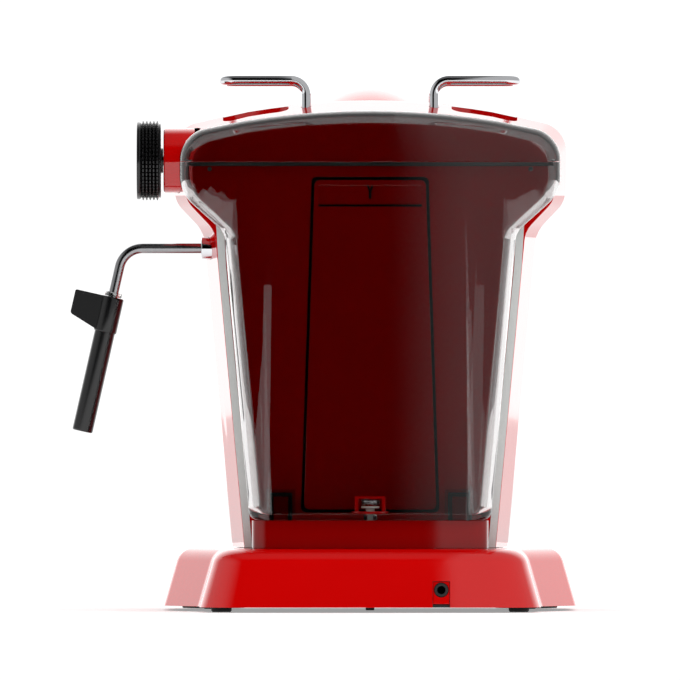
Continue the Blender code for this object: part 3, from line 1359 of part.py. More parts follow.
def make_tank():
    """The clear tank on its pedestal, its lid and the valve in its floor."""
    pedestal_top = TANK_BOTTOM_Z - GAP
    rear = TANK_REAR_Y - TANK_EDGE * 0.4
    plan = rounded([
        (-PEDESTAL_HALF, TANK_FRONT_Y, PEDESTAL_FRONT_CORNER),
        (PEDESTAL_HALF, TANK_FRONT_Y, PEDESTAL_FRONT_CORNER),
        (PEDESTAL_HALF, rear, PEDESTAL_CORNER),
        (-PEDESTAL_HALF, rear, PEDESTAL_CORNER),
    ], 4)
    pedestal = loft("tank_pedestal", [flat(plan, BASE_TOP_Z + GAP), flat(plan, pedestal_top)])
    for side in (-1, 1):
        name = "left" if side < 0 else "right"
        locator = box(
            f"locator_{name}",
            (side * LOCATOR_X - LOCATOR_HALF, TANK_FRONT_Y + LOCATOR_SETBACK, pedestal_top - 0.004),
            (side * LOCATOR_X + LOCATOR_HALF, TANK_FRONT_Y + LOCATOR_SETBACK + LOCATOR_DEPTH,
             LOCATOR_TOP_Z),
        )
        combine(pedestal, add_cutter(locator), "UNION")
    seat_place = (0.0, VALVE_Y, pedestal_top)
    combine(pedestal, add_cutter(rod("seat_bore", SEAT_RADIUS + GAP, -SEAT_DEPTH, 0.01, seat_place)))
    channel_z = BASE_TOP_Z + SUCTION_RISE
    channel = add_cutter(rod("suction_channel", HOSE_RADIUS, TANK_FRONT_Y - 0.01, VALVE_Y,
                             (0.0, 0.0, channel_z), "Y"))
    combine(pedestal, channel)
    add_part(pedestal, RED)
    cup_floor = -SEAT_FLOOR
    rim = cup_floor + SEAT_RIM * 1.5
    seat = turned("valve_seat", [
        (0.0, -PIN_TOP),
        (PIN_RADIUS, -PIN_TOP),
        (PIN_RADIUS, cup_floor),
        (SEAT_RADIUS - SEAT_RIM, cup_floor),
        (SEAT_RADIUS - SEAT_RIM, rim),
        (SEAT_RADIUS, rim),
        (SEAT_RADIUS, -SEAT_DEPTH + GAP),
        (0.0, -SEAT_DEPTH + GAP),
    ], seat_place, steps=28)
    add_part(seat, RUBBER)

    heights = {"foot_z": TANK_BOTTOM_Z, "top_z": PARTING_Z}
    tank = loft("water_tank", tank_sections(tank_outline, 0.0, **heights))
    inside_heights = {"foot_z": TANK_BOTTOM_Z + TANK_FLOOR, "top_z": PARTING_Z + 0.01}
    inside = loft("tank_inside", tank_sections(tank_outline, WALL, **inside_heights))
    for side in (-1, 1):
        # The floor rises over each locator of the pedestal.
        name = "left" if side < 0 else "right"
        centre = side * LOCATOR_X
        half = LOCATOR_HALF + SLIDE_GAP
        top = LOCATOR_TOP_Z + SLIDE_GAP
        front = TANK_FRONT_Y + LOCATOR_SETBACK - SLIDE_GAP
        back = TANK_FRONT_Y + LOCATOR_SETBACK + LOCATOR_DEPTH + SLIDE_GAP
        skin = LOCATOR_SKIN
        cap = add_cutter(box(
            f"pocket_wall_{name}",
            (centre - half - skin, front - skin, TANK_BOTTOM_Z - 0.001),
            (centre + half + skin, back + skin, top + skin),
        ))
        combine(inside, cap)
        pocket = add_cutter(box(
            f"pocket_{name}", (centre - half, front, TANK_BOTTOM_Z - 0.01), (centre + half, back, top),
        ))
        combine(tank, pocket)
    combine(tank, add_cutter(inside))
    valve_place = (0.0, VALVE_Y, TANK_BOTTOM_Z + TANK_FLOOR)
    outlet = VALVE_STEM_RADIUS + OUTLET_PLAY
    combine(tank, add_cutter(rod("outlet", outlet, -REACH, REACH, valve_place)))
    add_part(tank, CLEAR)

    lid = loft("tank_lid", tank_sections(lid_outline, 0.0, foot_z=PARTING_Z + GAP))
    hollow = loft("lid_inside", tank_sections(lid_outline, WALL, foot_z=PARTING_Z - 0.01))
    combine(lid, add_cutter(hollow))
    add_part(lid, CLEAR)

    cage_top = VALVE_CAGE_TOP_Z - valve_place[2]
    cage = ring("valve_cage", VALVE_FLANGE_RADIUS, outlet, GAP, CAGE_THICKNESS, valve_place, steps=32)
    clear_x = SPRING_RADIUS + OUTLET_PLAY - GAP / 3
    post_x = clear_x + CAGE_SIDE
    bridge = box(
        "cage_bridge",
        (-post_x, VALVE_Y - CAGE_HALF_DEPTH, valve_place[2] + CAGE_THICKNESS / 2),
        (post_x, VALVE_Y + CAGE_HALF_DEPTH, VALVE_CAGE_TOP_Z),
    )
    passage = box(
        "cage_passage",
        (-clear_x, VALVE_Y - REACH, valve_place[2] - REACH),
        (clear_x, VALVE_Y + REACH, VALVE_CAGE_TOP_Z - CAGE_ROOF),
    )
    combine(bridge, add_cutter(passage))
    combine(cage, add_cutter(bridge), "UNION")
    add_part(cage, RED)

    disc = CAGE_THICKNESS + VALVE_LIFT
    disc_top = disc + VALVE_DISC_THICKNESS
    tank_valve = turned("tank_valve", [
        (0.0, disc_top),
        (VALVE_DISC_RADIUS, disc_top),
        (VALVE_DISC_RADIUS, disc),
        (VALVE_STEM_RADIUS, disc),
        (VALVE_STEM_RADIUS, -TANK_FLOOR - GAP),
        (0.0, -TANK_FLOOR - GAP),
    ], valve_place, steps=24)
    add_part(tank_valve, SILICONE)

    low = disc_top + GAP + SPRING_WIRE
    high = cage_top - CAGE_ROOF - GAP - SPRING_WIRE
    steps = SPRING_TURNS * SPRING_STEPS
    coil = []
    for step in range(steps + 1):
        turn = 2 * math.pi * step / SPRING_STEPS
        radius = SPRING_RADIUS - SPRING_WIRE
        z = valve_place[2] + low + (high - low) * step / steps
        coil.append((radius * math.cos(turn), VALVE_Y + radius * math.sin(turn), z))
    add_part(wire("valve_spring", coil, SPRING_WIRE, 1), STEEL)


def make_control_board():
    """The board that switches the pump and the heater."""
    y = HOUSING_REAR_Y - BOARD_SETBACK
    (left, foot), (right, top) = BOARD_CORNERS
    board = box("control_board", (left, y, foot), (right, y + BOARD_THICKNESS, top))
    for index, (x, z, width, height) in enumerate(BOARD_BLOCKS):
        block = box(f"board_block_{index}", (x, y - BOARD_BLOCK_DEPTH, z),
                    (x + width, y + BOARD_THICKNESS / 2, z + height))
        combine(board, add_cutter(block), "UNION")
    add_part(board, GREEN)


make_drip_tray(make_base())
make_housing()
make_rails()
make_rear_wall()
make_gauge()
make_buttons()
make_group()
make_portafilter()
make_boiler()
make_pump()
make_steam_side()
make_tank()
make_control_board()
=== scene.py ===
import math

import bmesh
import bpy
from mathutils import Matrix, Vector


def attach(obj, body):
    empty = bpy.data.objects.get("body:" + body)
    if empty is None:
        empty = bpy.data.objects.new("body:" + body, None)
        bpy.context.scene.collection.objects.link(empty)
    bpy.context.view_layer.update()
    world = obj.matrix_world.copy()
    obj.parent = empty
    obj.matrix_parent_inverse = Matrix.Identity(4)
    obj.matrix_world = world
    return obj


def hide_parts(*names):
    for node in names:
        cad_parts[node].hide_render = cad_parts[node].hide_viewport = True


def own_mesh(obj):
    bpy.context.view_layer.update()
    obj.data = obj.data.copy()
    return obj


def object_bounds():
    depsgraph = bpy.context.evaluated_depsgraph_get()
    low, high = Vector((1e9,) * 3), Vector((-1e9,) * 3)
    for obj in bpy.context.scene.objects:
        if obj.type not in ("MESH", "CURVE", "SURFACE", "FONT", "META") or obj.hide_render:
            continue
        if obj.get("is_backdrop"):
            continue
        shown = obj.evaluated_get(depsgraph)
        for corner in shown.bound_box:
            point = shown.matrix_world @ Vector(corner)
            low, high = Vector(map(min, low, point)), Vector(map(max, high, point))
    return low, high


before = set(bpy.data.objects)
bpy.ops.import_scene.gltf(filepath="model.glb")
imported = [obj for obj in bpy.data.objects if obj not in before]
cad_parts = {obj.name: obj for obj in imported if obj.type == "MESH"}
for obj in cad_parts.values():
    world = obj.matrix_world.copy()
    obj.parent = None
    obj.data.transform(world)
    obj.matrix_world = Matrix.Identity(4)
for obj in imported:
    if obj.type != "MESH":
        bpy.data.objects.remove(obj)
size_at_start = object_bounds()


# ---- Studio ----
# A white floor, an even white tent of light and one softbox. Gloss sees a tent that is
# open behind the machine's left, so its red stays deep there.

CAMERA_AT = (0.0192, 16.0, 0.173)
FRAME_WIDTH = 0.4352
FLOOR_RADIUS = 3.0
BACK_WALL = 2.0
RIGHT_WALL = 0.55
LEFT_WALL = 0.6
CEILING = 0.15
THROUGH_CLEAR = 0.12


def linear(code):
    """An sRGB colour such as #BE0000 in linear light."""
    parts = [int(code[start:start + 2], 16) / 255 for start in (1, 3, 5)]
    lit = [p / 12.92 if p <= 0.04045 else ((p + 0.055) / 1.055) ** 2.4 for p in parts]
    return (*lit, 1.0)


def add_node(tree, kind, links=None, **settings):
    """Adds a node with its own settings, and its inputs' values or the sockets they read."""
    node = tree.nodes.new(kind)
    for setting, value in settings.items():
        setattr(node, setting, value)
    for socket, value in (links or {}).items():
        if isinstance(value, bpy.types.NodeSocket):
            tree.links.new(value, node.inputs[socket])
        else:
            node.inputs[socket].default_value = value
    return node


def new_material(name, colour, values):
    """A material, its node tree and its shader, with the even values on the shader's sockets."""
    material = bpy.data.materials.new(name)
    material.use_nodes = True
    shader = material.node_tree.nodes["Principled BSDF"]
    for socket, value in values.items():
        shader.inputs[socket].default_value = value
    shader.inputs["Base Color"].default_value = linear(colour)
    return material, material.node_tree, shader


def mottled(name, colour, shades, size, detail, values, skin=None, roughness=None):
    """A material between two shades in noise of this size; its skin is (size, detail, strength, depth)."""
    material, tree, shader = new_material(name, colour, values)
    place = add_node(tree, "ShaderNodeTexCoord").outputs["Object"]
    noise = add_node(tree, "ShaderNodeTexNoise", {"Vector": place, "Scale": 1 / size, "Detail": detail})
    tint = add_node(tree, "ShaderNodeMix", {
        0: noise.outputs["Fac"], 6: linear(shades[0]), 7: linear(shades[1]),
    }, data_type="RGBA")
    tree.links.new(tint.outputs[2], shader.inputs["Base Color"])
    if skin:
        size, detail, strength, depth = skin
        grain = add_node(tree, "ShaderNodeTexNoise", {"Vector": place, "Scale": 1 / size, "Detail": detail})
        bump = add_node(tree, "ShaderNodeBump", {
            "Height": grain.outputs["Fac"], "Strength": strength, "Distance": depth,
        })
        tree.links.new(bump.outputs["Normal"], shader.inputs["Normal"])
    if roughness:
        haze = add_node(tree, "ShaderNodeMapRange", {
            "Value": noise.outputs["Fac"], "To Min": roughness[0], "To Max": roughness[1],
        })
        tree.links.new(haze.outputs["Result"], shader.inputs["Roughness"])
    return material


def piece(name, bm, material, crease=32):
    """A shown mesh from a bmesh, smooth up to edges sharper than crease degrees."""
    mesh = bpy.data.meshes.new(name)
    bm.to_mesh(mesh)
    bm.free()
    mesh.materials.append(material)
    mesh.shade_smooth()
    mesh.set_sharp_from_angle(angle=math.radians(crease))
    made = bpy.data.objects.new(name, mesh)
    bpy.context.scene.collection.objects.link(made)
    return made


world = bpy.data.worlds.new("tent")
world.use_nodes = True
world.cycles.sampling_method = "NONE"
bpy.context.scene.world = world
sky = world.node_tree
sky.nodes.clear()
towards = add_node(sky, "ShaderNodeTexCoord").outputs["Generated"]
part = add_node(sky, "ShaderNodeSeparateXYZ", {"Vector": towards})
tent = None
for axis, start, end, brightness in (
    ("Y", -0.20, -0.92, BACK_WALL), ("X", -0.008, -0.045, RIGHT_WALL),
    ("X", 0.45, 0.90, LEFT_WALL), ("Z", 0.72, 0.90, CEILING),
):
    wall = add_node(sky, "ShaderNodeMapRange", {
        "Value": part.outputs[axis], "From Min": start, "From Max": end, "To Max": brightness,
    }, interpolation_type="SMOOTHSTEP").outputs["Result"]
    tent = wall if tent is None else add_node(
        sky, "ShaderNodeMath", {0: tent, 1: wall}, operation="MAXIMUM").outputs["Value"]
ray = add_node(sky, "ShaderNodeLightPath")
scattered = add_node(sky, "ShaderNodeMath", {0: ray.outputs["Diffuse Depth"], 1: 0.5},
                     operation="GREATER_THAN")
through = add_node(sky, "ShaderNodeMapRange", {
    "Value": ray.outputs["Transmission Depth"], "From Max": 1.0, "To Min": 1.0, "To Max": THROUGH_CLEAR,
})
dimmed = add_node(sky, "ShaderNodeMath", {0: tent, 1: through.outputs["Result"]}, operation="MULTIPLY")
gloss_light = add_node(sky, "ShaderNodeBackground", {
    "Color": linear("#FFFFFF"), "Strength": dimmed.outputs["Value"],
})
even_light = add_node(sky, "ShaderNodeBackground", {"Color": linear("#FFFFFF"), "Strength": 0.9})
backdrop = add_node(sky, "ShaderNodeBackground", {"Color": linear("#FFFFFF"), "Strength": 1.1})
lit = add_node(sky, "ShaderNodeMixShader", {
    0: scattered.outputs["Value"], 1: gloss_light.outputs[0], 2: even_light.outputs[0],
})
shown = add_node(sky, "ShaderNodeMixShader", {
    0: ray.outputs["Is Camera Ray"], 1: lit.outputs[0], 2: backdrop.outputs[0],
})
add_node(sky, "ShaderNodeOutputWorld", {"Surface": shown.outputs[0]})

softbox = bpy.data.objects.new("softbox", bpy.data.lights.new("softbox", "AREA"))
softbox.data.shape = "DISK"
softbox.data.size = 1.6
softbox.data.energy = 14.0
softbox.visible_glossy = False
softbox.location = (-1.5, 1.9, 1.6)
softbox.rotation_euler = (Vector((0, 0, 0.16)) - softbox.location).to_track_quat("-Z", "Y").to_euler()
bpy.context.scene.collection.objects.link(softbox)

white_floor = mottled("matt_white_paint", "#F4F4F4", ("#F2F2F2", "#F8F8F8"), 0.40, 3.0, {
    "Roughness": 0.8, "Specular IOR Level": 0.0,
    "Emission Color": linear("#FFFFFF"), "Emission Strength": 0.32,
})
bm = bmesh.new()
bmesh.ops.create_circle(bm, cap_ends=True, segments=96, radius=FLOOR_RADIUS)
bmesh.ops.translate(bm, vec=(0, 0, -0.0002), verts=bm.verts)
floor = piece("floor", bm, white_floor)
floor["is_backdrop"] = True

camera = bpy.data.objects.new("camera", bpy.data.cameras.new("camera"))
camera.data.lens = camera.data.sensor_width * CAMERA_AT[1] / FRAME_WIDTH
camera.data.clip_end = 50.0
camera.location = CAMERA_AT
camera.rotation_euler = (math.radians(90), 0.0, math.radians(180))
bpy.context.scene.collection.objects.link(camera)
bpy.context.scene.camera = camera
bpy.context.scene.view_settings.view_transform = "Standard"


# ---- Base ----
# The base is one injection moulding in glossy red ABS, wide under the cups and waisted
# ahead of the water tank. It screws down on a black floor plate from below.

SIDES = (("left", -1), ("right", 1))
BASE_HALF = 0.1322
BASE_REAR_HALF = 0.1087
BASE_FRONT = -0.150
BASE_REAR = 0.135
BASE_REAR_CROWN = 0.0015
WAIST_FRONT = 0.010
WAIST_REAR = 0.062
WAIST_TURN = 0.020
SKIRT_FOOT = 0.0031
BASE_TOP = 0.0405
SKIRT_SLANT = math.radians(16)
SHOULDER = 0.012
ABS_WALL = 0.0025
TRAY_HALF = 0.0886
TRAY_REAR = -0.0149
GLAND_AT = (-0.0451, 0.0143)
GLAND_HALF = 0.0055

# Glossy ABS: the pigment is even, a hard clear skin gives sharp reflections, and the
# mould leaves waves about 14 mm long that only show in them.
red_abs = mottled("glossy_red_abs", "#C40000", ("#C00000", "#C80202"), 0.060, 2.0, {
    "Roughness": 0.06, "IOR": 1.54, "Coat Weight": 0.5, "Coat Roughness": 0.03,
}, skin=(0.014, 1.0, 0.06, 0.0003))


def outline(corners, steps=6):
    """The points round a flat shape from its corners (x, y, radius), each rounded by a bevel."""
    bm = bmesh.new()
    verts = [bm.verts.new((x, y, 0.0)) for x, y, _ in corners]
    bm.faces.new(verts)
    for i, (x, y, radius) in enumerate(corners):
        if radius:
            here = Vector((x, y))
            back = Vector(corners[i - 1][:2]) - here
            on = Vector(corners[(i + 1) % len(corners)][:2]) - here
            bmesh.ops.bevel(bm, geom=[verts[i]], affect="VERTICES", segments=steps, profile=0.5,
                            offset=radius / math.tan(back.angle(on) / 2), material=-1)
    bm.faces.ensure_lookup_table()
    points = [vert.co.to_2d() for vert in bm.faces[0].verts]
    bm.free()
    return points


def mirrored(corners):
    """Corners of a whole shape from those of its +X half, the centre ones first and last."""
    return corners + [(-x, y, radius) for x, y, radius in reversed(corners) if x]


def skin_over(rings, closed=(True, True)):
    """A bmesh of skin bridged from ring to ring, its ends closed or open."""
    bm = bmesh.new()
    loops = []
    for points in rings:
        verts = [bm.verts.new(point) for point in points]
        loops.append([bm.edges.new((verts[i - 1], verts[i])) for i in range(len(verts))])
    for lower, upper in zip(loops, loops[1:]):
        bmesh.ops.bridge_loops(bm, edges=lower + upper)
    for loop, shut in ((loops[0], closed[0]), (loops[-1], closed[1])):
        if shut:
            bmesh.ops.contextual_create(bm, geom=loop)
    bmesh.ops.recalc_face_normals(bm, faces=bm.faces)
    return bm


def block(low, high):
    """A bmesh block between two corners."""
    bm = bmesh.new()
    bmesh.ops.create_cube(bm, size=1.0)
    bmesh.ops.scale(bm, vec=Vector(high) - Vector(low), verts=bm.verts)
    bmesh.ops.translate(bm, vec=(Vector(high) + Vector(low)) / 2, verts=bm.verts)
    return bm


def cut(made, bm, operation="DIFFERENCE"):
    """Cuts a bmesh out of a piece, or keeps or adds it, and keeps the result as its mesh."""
    tool = piece("tool", bm, made.data.materials[0])
    boolean = made.modifiers.new("cut", "BOOLEAN")
    boolean.object = tool
    boolean.operation = operation
    boolean.solver = "EXACT"
    bpy.context.view_layer.update()
    shape = bpy.data.meshes.new_from_object(made.evaluated_get(bpy.context.evaluated_depsgraph_get()))
    made.modifiers.clear()
    made.data = shape
    bpy.data.objects.remove(tool, do_unlink=True)
    return made


def hollowed(made, core):
    """Takes the shape of another piece, which goes, out of a piece."""
    bm = bmesh.new()
    bm.from_mesh(core.data)
    bpy.data.objects.remove(core, do_unlink=True)
    return cut(made, bm)


def eased(made, radius, segments=3, crease=32):
    """Eases a piece's sharp edges and evens out its shading."""
    made.data.set_sharp_from_angle(angle=math.radians(crease))
    ease = made.modifiers.new("eased_edges", "BEVEL")
    ease.width = radius
    ease.segments = segments
    ease.limit_method = "ANGLE"
    ease.angle_limit = math.radians(crease)
    ease.harden_normals = True
    return made


def fitted(made, body, slot, *nodes):
    """Puts a piece on its body and hides the CAD nodes it stands for; slot is not used."""
    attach(made, body)
    if nodes:
        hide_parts(*nodes)
    return made


def base_plan(inset):
    """The base seen from above, brought in all round."""
    return outline(mirrored([
        (0.0, BASE_FRONT + inset, 0.0),
        (BASE_HALF - inset, BASE_FRONT + inset, 0.040 - inset * 0.6),
        (BASE_HALF - inset, WAIST_FRONT, WAIST_TURN),
        (BASE_REAR_HALF - inset, WAIST_REAR, WAIST_TURN),
        (BASE_REAR_HALF - inset, BASE_REAR - inset, 0.030 - inset * 0.4),
        (0.0, BASE_REAR + BASE_REAR_CROWN - inset, 3.0),
    ]), 10)


rings = []
run = (BASE_TOP - SHOULDER + SHOULDER * math.sin(SKIRT_SLANT) - SKIRT_FOOT) * math.tan(SKIRT_SLANT)
for inset, z in [(0.0, SKIRT_FOOT)] + [
    (run + SHOULDER * (math.cos(SKIRT_SLANT) - math.cos(turn)),
     BASE_TOP - SHOULDER + SHOULDER * math.sin(turn))
    for turn in [SKIRT_SLANT + (math.pi / 2 - SKIRT_SLANT) * step / 10 for step in range(11)]
]:
    rings.append([(x, y, z) for x, y in base_plan(inset)])
base = piece("base_shell", skin_over(rings), red_abs)
inner = [[(x, y, z) for x, y in base_plan(inset)] for inset, z in (
    (ABS_WALL - 0.006 * math.tan(SKIRT_SLANT), SKIRT_FOOT - 0.006),
    (ABS_WALL + run, BASE_TOP - SHOULDER + 0.002),
    (ABS_WALL + run + SHOULDER * 0.7, BASE_TOP - ABS_WALL),
)]
cut(base, skin_over(inner))
cut(base, block((-TRAY_HALF, BASE_FRONT - 0.02, -0.01), (TRAY_HALF, TRAY_REAR, BASE_TOP + 0.02)))
cut(base, block((GLAND_AT[0] - GLAND_HALF, BASE_REAR - 0.03, -0.01),
                (GLAND_AT[0] + GLAND_HALF, BASE_REAR + 0.01, GLAND_AT[1] + GLAND_HALF)))
eased(base, 0.0006)
fitted(base, "machine", "gloss_red", "base_skirt")


# ---- Floor plate, feet and cord gland ----
# The plate is pressed from black ABS sheet and screws up into the base. The feet are
# moulded rubber, plugged into it; the gland is a rubber grommet in a small red insert.

FOOT_PLACES = {
    "foot_front_left": (-0.1006, -0.090, 0.020), "foot_front_right": (0.1006, -0.090, 0.020),
    "foot_rear_left": (-0.0946, 0.098, 0.0065), "foot_rear_right": (0.0946, 0.098, 0.0065),
}
FOOT_TOP = 0.0028
FOOT_PAD = 0.0006
FOOT_BUTTON = 0.0060
CENTRE_FOOT = 0.0028
GLAND_RADIUS = 0.00445
GLAND_BORE = 0.0026
GLAND_PROUD = 0.0012

# Textured black ABS: the mould is spark eroded, so it keeps a fine grain of about 0.9 mm,
# drawn a little coarse, which breaks the shine into a soft satin.
black_abs = mottled("textured_black_abs", "#131314", ("#101011", "#19191A"), 0.030, 3.0, {
    "Roughness": 0.42, "IOR": 1.54, "Specular IOR Level": 0.45,
}, skin=(0.0009, 2.0, 0.25, 0.0001))

# Moulded rubber: dull and dark, with a bloom that greys it in patches about 8 mm across.
rubber = mottled("moulded_rubber", "#1A1A1A", ("#161616", "#242424"), 0.008, 4.0, {
    "Roughness": 0.72, "IOR": 1.52,
}, skin=(0.008, 4.0, 0.15, 0.0002))

FACING = {
    "X": Matrix.Rotation(math.radians(90), 4, "Y"),
    "Y": Matrix.Rotation(math.radians(-90), 4, "X"),
    "Z": Matrix.Identity(4),
}


def turned(corners, place=(0, 0, 0), facing="Z", steps=96, rounds=4):
    """A bmesh turned from its section's corners (radius, height, rounding); height runs along facing."""
    bm = bmesh.new()
    verts = [bm.verts.new((radius, 0.0, height)) for radius, height in outline(corners, rounds)]
    pairs = [(verts[i - 1], verts[i]) for i in range(len(verts))]
    edges = [bm.edges.new(pair) for pair in pairs if pair[0].co.x > 1e-7 or pair[1].co.x > 1e-7]
    bmesh.ops.spin(bm, geom=verts + edges, cent=(0, 0, 0), axis=(0, 0, 1), angle=2 * math.pi,
                   steps=steps, use_merge=True)
    bmesh.ops.remove_doubles(bm, verts=bm.verts, dist=0.000001)
    bmesh.ops.recalc_face_normals(bm, faces=bm.faces)
    turn = FACING[facing] if isinstance(facing, str) else facing
    bmesh.ops.transform(bm, matrix=Matrix.Translation(place) @ turn, verts=bm.verts)
    return bm


def rod(radius, start, end, place, facing="Z", rounding=0.0, steps=64):
    """A round bar's bmesh between two heights along the way it faces."""
    return turned([(0.0, start, 0.0), (radius, start, rounding), (radius, end, rounding),
                   (0.0, end, 0.0)], place, facing, steps)


def tube(outer, inner, start, end, place, facing="Z", rounding=0.0, steps=64):
    """A round tube's bmesh between two heights along the way it faces."""
    return turned([(inner, start, rounding), (outer, start, rounding), (outer, end, rounding),
                   (inner, end, rounding)], place, facing, steps)


def from_cad(node, name, material, body, slot, radius, segments=3):
    """A piece with a CAD node's own shape, its doubles merged and its edges eased."""
    bm = bmesh.new()
    bm.from_mesh(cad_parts[node].data)
    bmesh.ops.remove_doubles(bm, verts=bm.verts, dist=0.000002)
    bmesh.ops.dissolve_limit(bm, angle_limit=math.radians(1.0), verts=bm.verts, edges=bm.edges)
    made = piece(name, bm, material)
    if radius:
        eased(made, radius, segments)
    return fitted(made, body, slot, node)


from_cad("base_plate", "floor_plate", black_abs, "machine", "black_plastic", 0.0004, 2)
for name, (x, y, pad) in FOOT_PLACES.items():
    foot = piece(name, turned([
        (0.0, 0.0, 0.0), (FOOT_BUTTON, 0.0, 0.0003), (FOOT_BUTTON, FOOT_PAD, 0.0002),
        (pad, FOOT_PAD, 0.0005), (pad, FOOT_TOP, 0.0003), (0.0, FOOT_TOP, 0.0),
    ], (x, y, 0.0), steps=64), rubber)
    fitted(foot, "machine", "rubber", name)
peg = piece("centre_peg", rod(CENTRE_FOOT, 0.0, FOOT_TOP, (0, 0, 0), rounding=0.0004, steps=32), rubber)
fitted(peg, "machine", "rubber", "centre_foot")
from_cad("gland_insert", "cord_insert", red_abs, "machine", "gloss_red", 0.0004)
gland_face = (GLAND_AT[0], BASE_REAR - (GLAND_AT[1] - SKIRT_FOOT) * math.tan(SKIRT_SLANT), GLAND_AT[1])
gland = piece("cord_grommet", turned([
    (GLAND_BORE, -0.012, 0.0), (GLAND_RADIUS, -0.012, 0.0), (GLAND_RADIUS, GLAND_PROUD, 0.0008),
    (GLAND_BORE, GLAND_PROUD, 0.0005),
], gland_face, "Y", 48), rubber)
fitted(gland, "machine", "rubber", "cord_gland")


# ---- Drip tray ----
# A black ABS tray slides in from the front under a pressed stainless grid. A red float
# rises through the grid when the tray is full.

FLOAT_Y = -0.0729
FLOAT_REST = 0.0082
FLOAT_TOP = 0.0409
FLOAT_RADIUS = 0.0090
FLOAT_HEIGHT = 0.0080
FLOAT_STEM = 0.0024

# Brushed stainless sheet: belts drag scratches across it, some 0.4 mm apart and drawn
# coarser here, which stretch every highlight.
brushed_steel, tree, shader = new_material("brushed_stainless_steel", "#B9B9BA", {
    "Metallic": 1.0, "Roughness": 0.26, "Anisotropic": 0.5,
})
place = add_node(tree, "ShaderNodeTexCoord").outputs["Object"]
along = add_node(tree, "ShaderNodeMapping", {"Vector": place, "Scale": (0.02, 1.0, 1.0)})
scratches = add_node(tree, "ShaderNodeTexNoise", {
    "Vector": along.outputs["Vector"], "Scale": 1 / 0.0008, "Detail": 3.0,
})
tint = add_node(tree, "ShaderNodeMix", {
    0: scratches.outputs["Fac"], 6: linear("#A9A9AB"), 7: linear("#CACACA"),
}, data_type="RGBA")
tree.links.new(tint.outputs[2], shader.inputs["Base Color"])
streaks = add_node(tree, "ShaderNodeMapRange", {
    "Value": scratches.outputs["Fac"], "To Min": 0.20, "To Max": 0.34,
})
tree.links.new(streaks.outputs["Result"], shader.inputs["Roughness"])
skin = add_node(tree, "ShaderNodeBump", {
    "Height": scratches.outputs["Fac"], "Strength": 0.12, "Distance": 0.00005,
})
tree.links.new(skin.outputs["Normal"], shader.inputs["Normal"])

from_cad("drip_tray", "tray_drawer", black_abs, "tray", "black_plastic", 0.0008)
from_cad("drip_grid", "tray_grid", brushed_steel, "grid", "steel", 0.0004)
drip_float = piece("tray_float", turned([
    (0.0, FLOAT_REST, 0.0), (FLOAT_RADIUS, FLOAT_REST, 0.0010),
    (FLOAT_RADIUS, FLOAT_REST + FLOAT_HEIGHT, 0.0010), (FLOAT_STEM, FLOAT_REST + FLOAT_HEIGHT, 0.0005),
    (FLOAT_STEM, FLOAT_TOP, 0.0008), (0.0, FLOAT_TOP, 0.0),
], (0.0, FLOAT_Y, 0.0), steps=48), red_abs)
fitted(drip_float, "float", "gloss_red", "drip_float")


# ---- Housing ----
# The red housing is one ABS moulding: a column that widens upwards and flares into the
# head that holds the boiler, with a crowned roof for warming cups. It is open behind.

COLUMN_FOOT_HALF = 0.0880
COLUMN_TOP_HALF = 0.1068
FLARE_Z = 0.2425
HEAD_HALF = 0.1258
HEAD_SHOULDER_Z = 0.2625
ROOF_Z = 0.3260
ROOF_CROWN = 0.460
HEAD_CORNER = 0.018
HOUSING_REAR = 0.0650
HEAD_FRONT = -0.138
HEAD_UNDERSIDE = 0.236
COLUMN_FRONT = 0.0
HOUSING_FOOT = 0.0408
REAR_TAPER = (0.040, 0.0078)
FRONT_TURN = (0.034, 0.026)
POD_RADIUS = 0.0495
POD_Z = 0.2900
POD_DRUM_REAR = -0.098
POD_TAIL = 0.045
BUTTON_RADIUS = 0.0085
BUTTON_PLACES = {"power": (-0.074, 0.2675), "brew": (0.074, 0.2795), "steam": (0.074, 0.2555)}
GROUP_Y = -0.056
GROUP_RADIUS = 0.0400
STEAM_Y = 0.042
KNOB_Z = 0.2875
COLLAR_RADIUS = 0.0206
WAND_Z = 0.2315
WAND_JOINT = 0.0070
RAIL_LEGS = [(x, y) for x in (-0.0408, 0.0408) for y in (0.036, -0.058)]
RAIL_WIRE = 0.0031
CUP_TRAY = (0.0520, 0.0940, -0.050, 0.045)
CUP_TRAY_FLOOR = 0.3065
CLEAR_OF = 0.0003


def crown(x, top, radius):
    """Height of a crowned top at x."""
    return top - x * x / (2 * radius)


def housing_section(inset, foot):
    """The housing seen from behind, brought in all round."""
    slope = (COLUMN_TOP_HALF - COLUMN_FOOT_HALF) / (FLARE_Z - BASE_TOP)
    foot_half = COLUMN_FOOT_HALF + (foot - BASE_TOP) * slope
    corner = HEAD_CORNER - inset * 0.25
    roof = [(x, crown(x, ROOF_Z - inset, ROOF_CROWN), 0.0) for x in (0.078, 0.065, 0.052, 0.039,
                                                                      0.026, 0.013, 0.0)]
    return outline(mirrored([
        (0.0, foot, 0.0),
        (foot_half - inset, foot, 0.0),
        (COLUMN_TOP_HALF - inset, FLARE_Z, corner),
        (HEAD_HALF - inset, HEAD_SHOULDER_Z, corner),
        (HEAD_HALF - inset, crown(HEAD_HALF, ROOF_Z, ROOF_CROWN) - inset, corner),
        *roof,
    ]), 8)


def rounding(along, inwards, steps):
    """Steps round an edge: how far before the end, and how far in."""
    turns = [math.pi / 2 * step / steps for step in range(steps + 1)]
    return [(along * (1 - math.sin(t)), inwards * (1 - math.cos(t))) for t in turns]


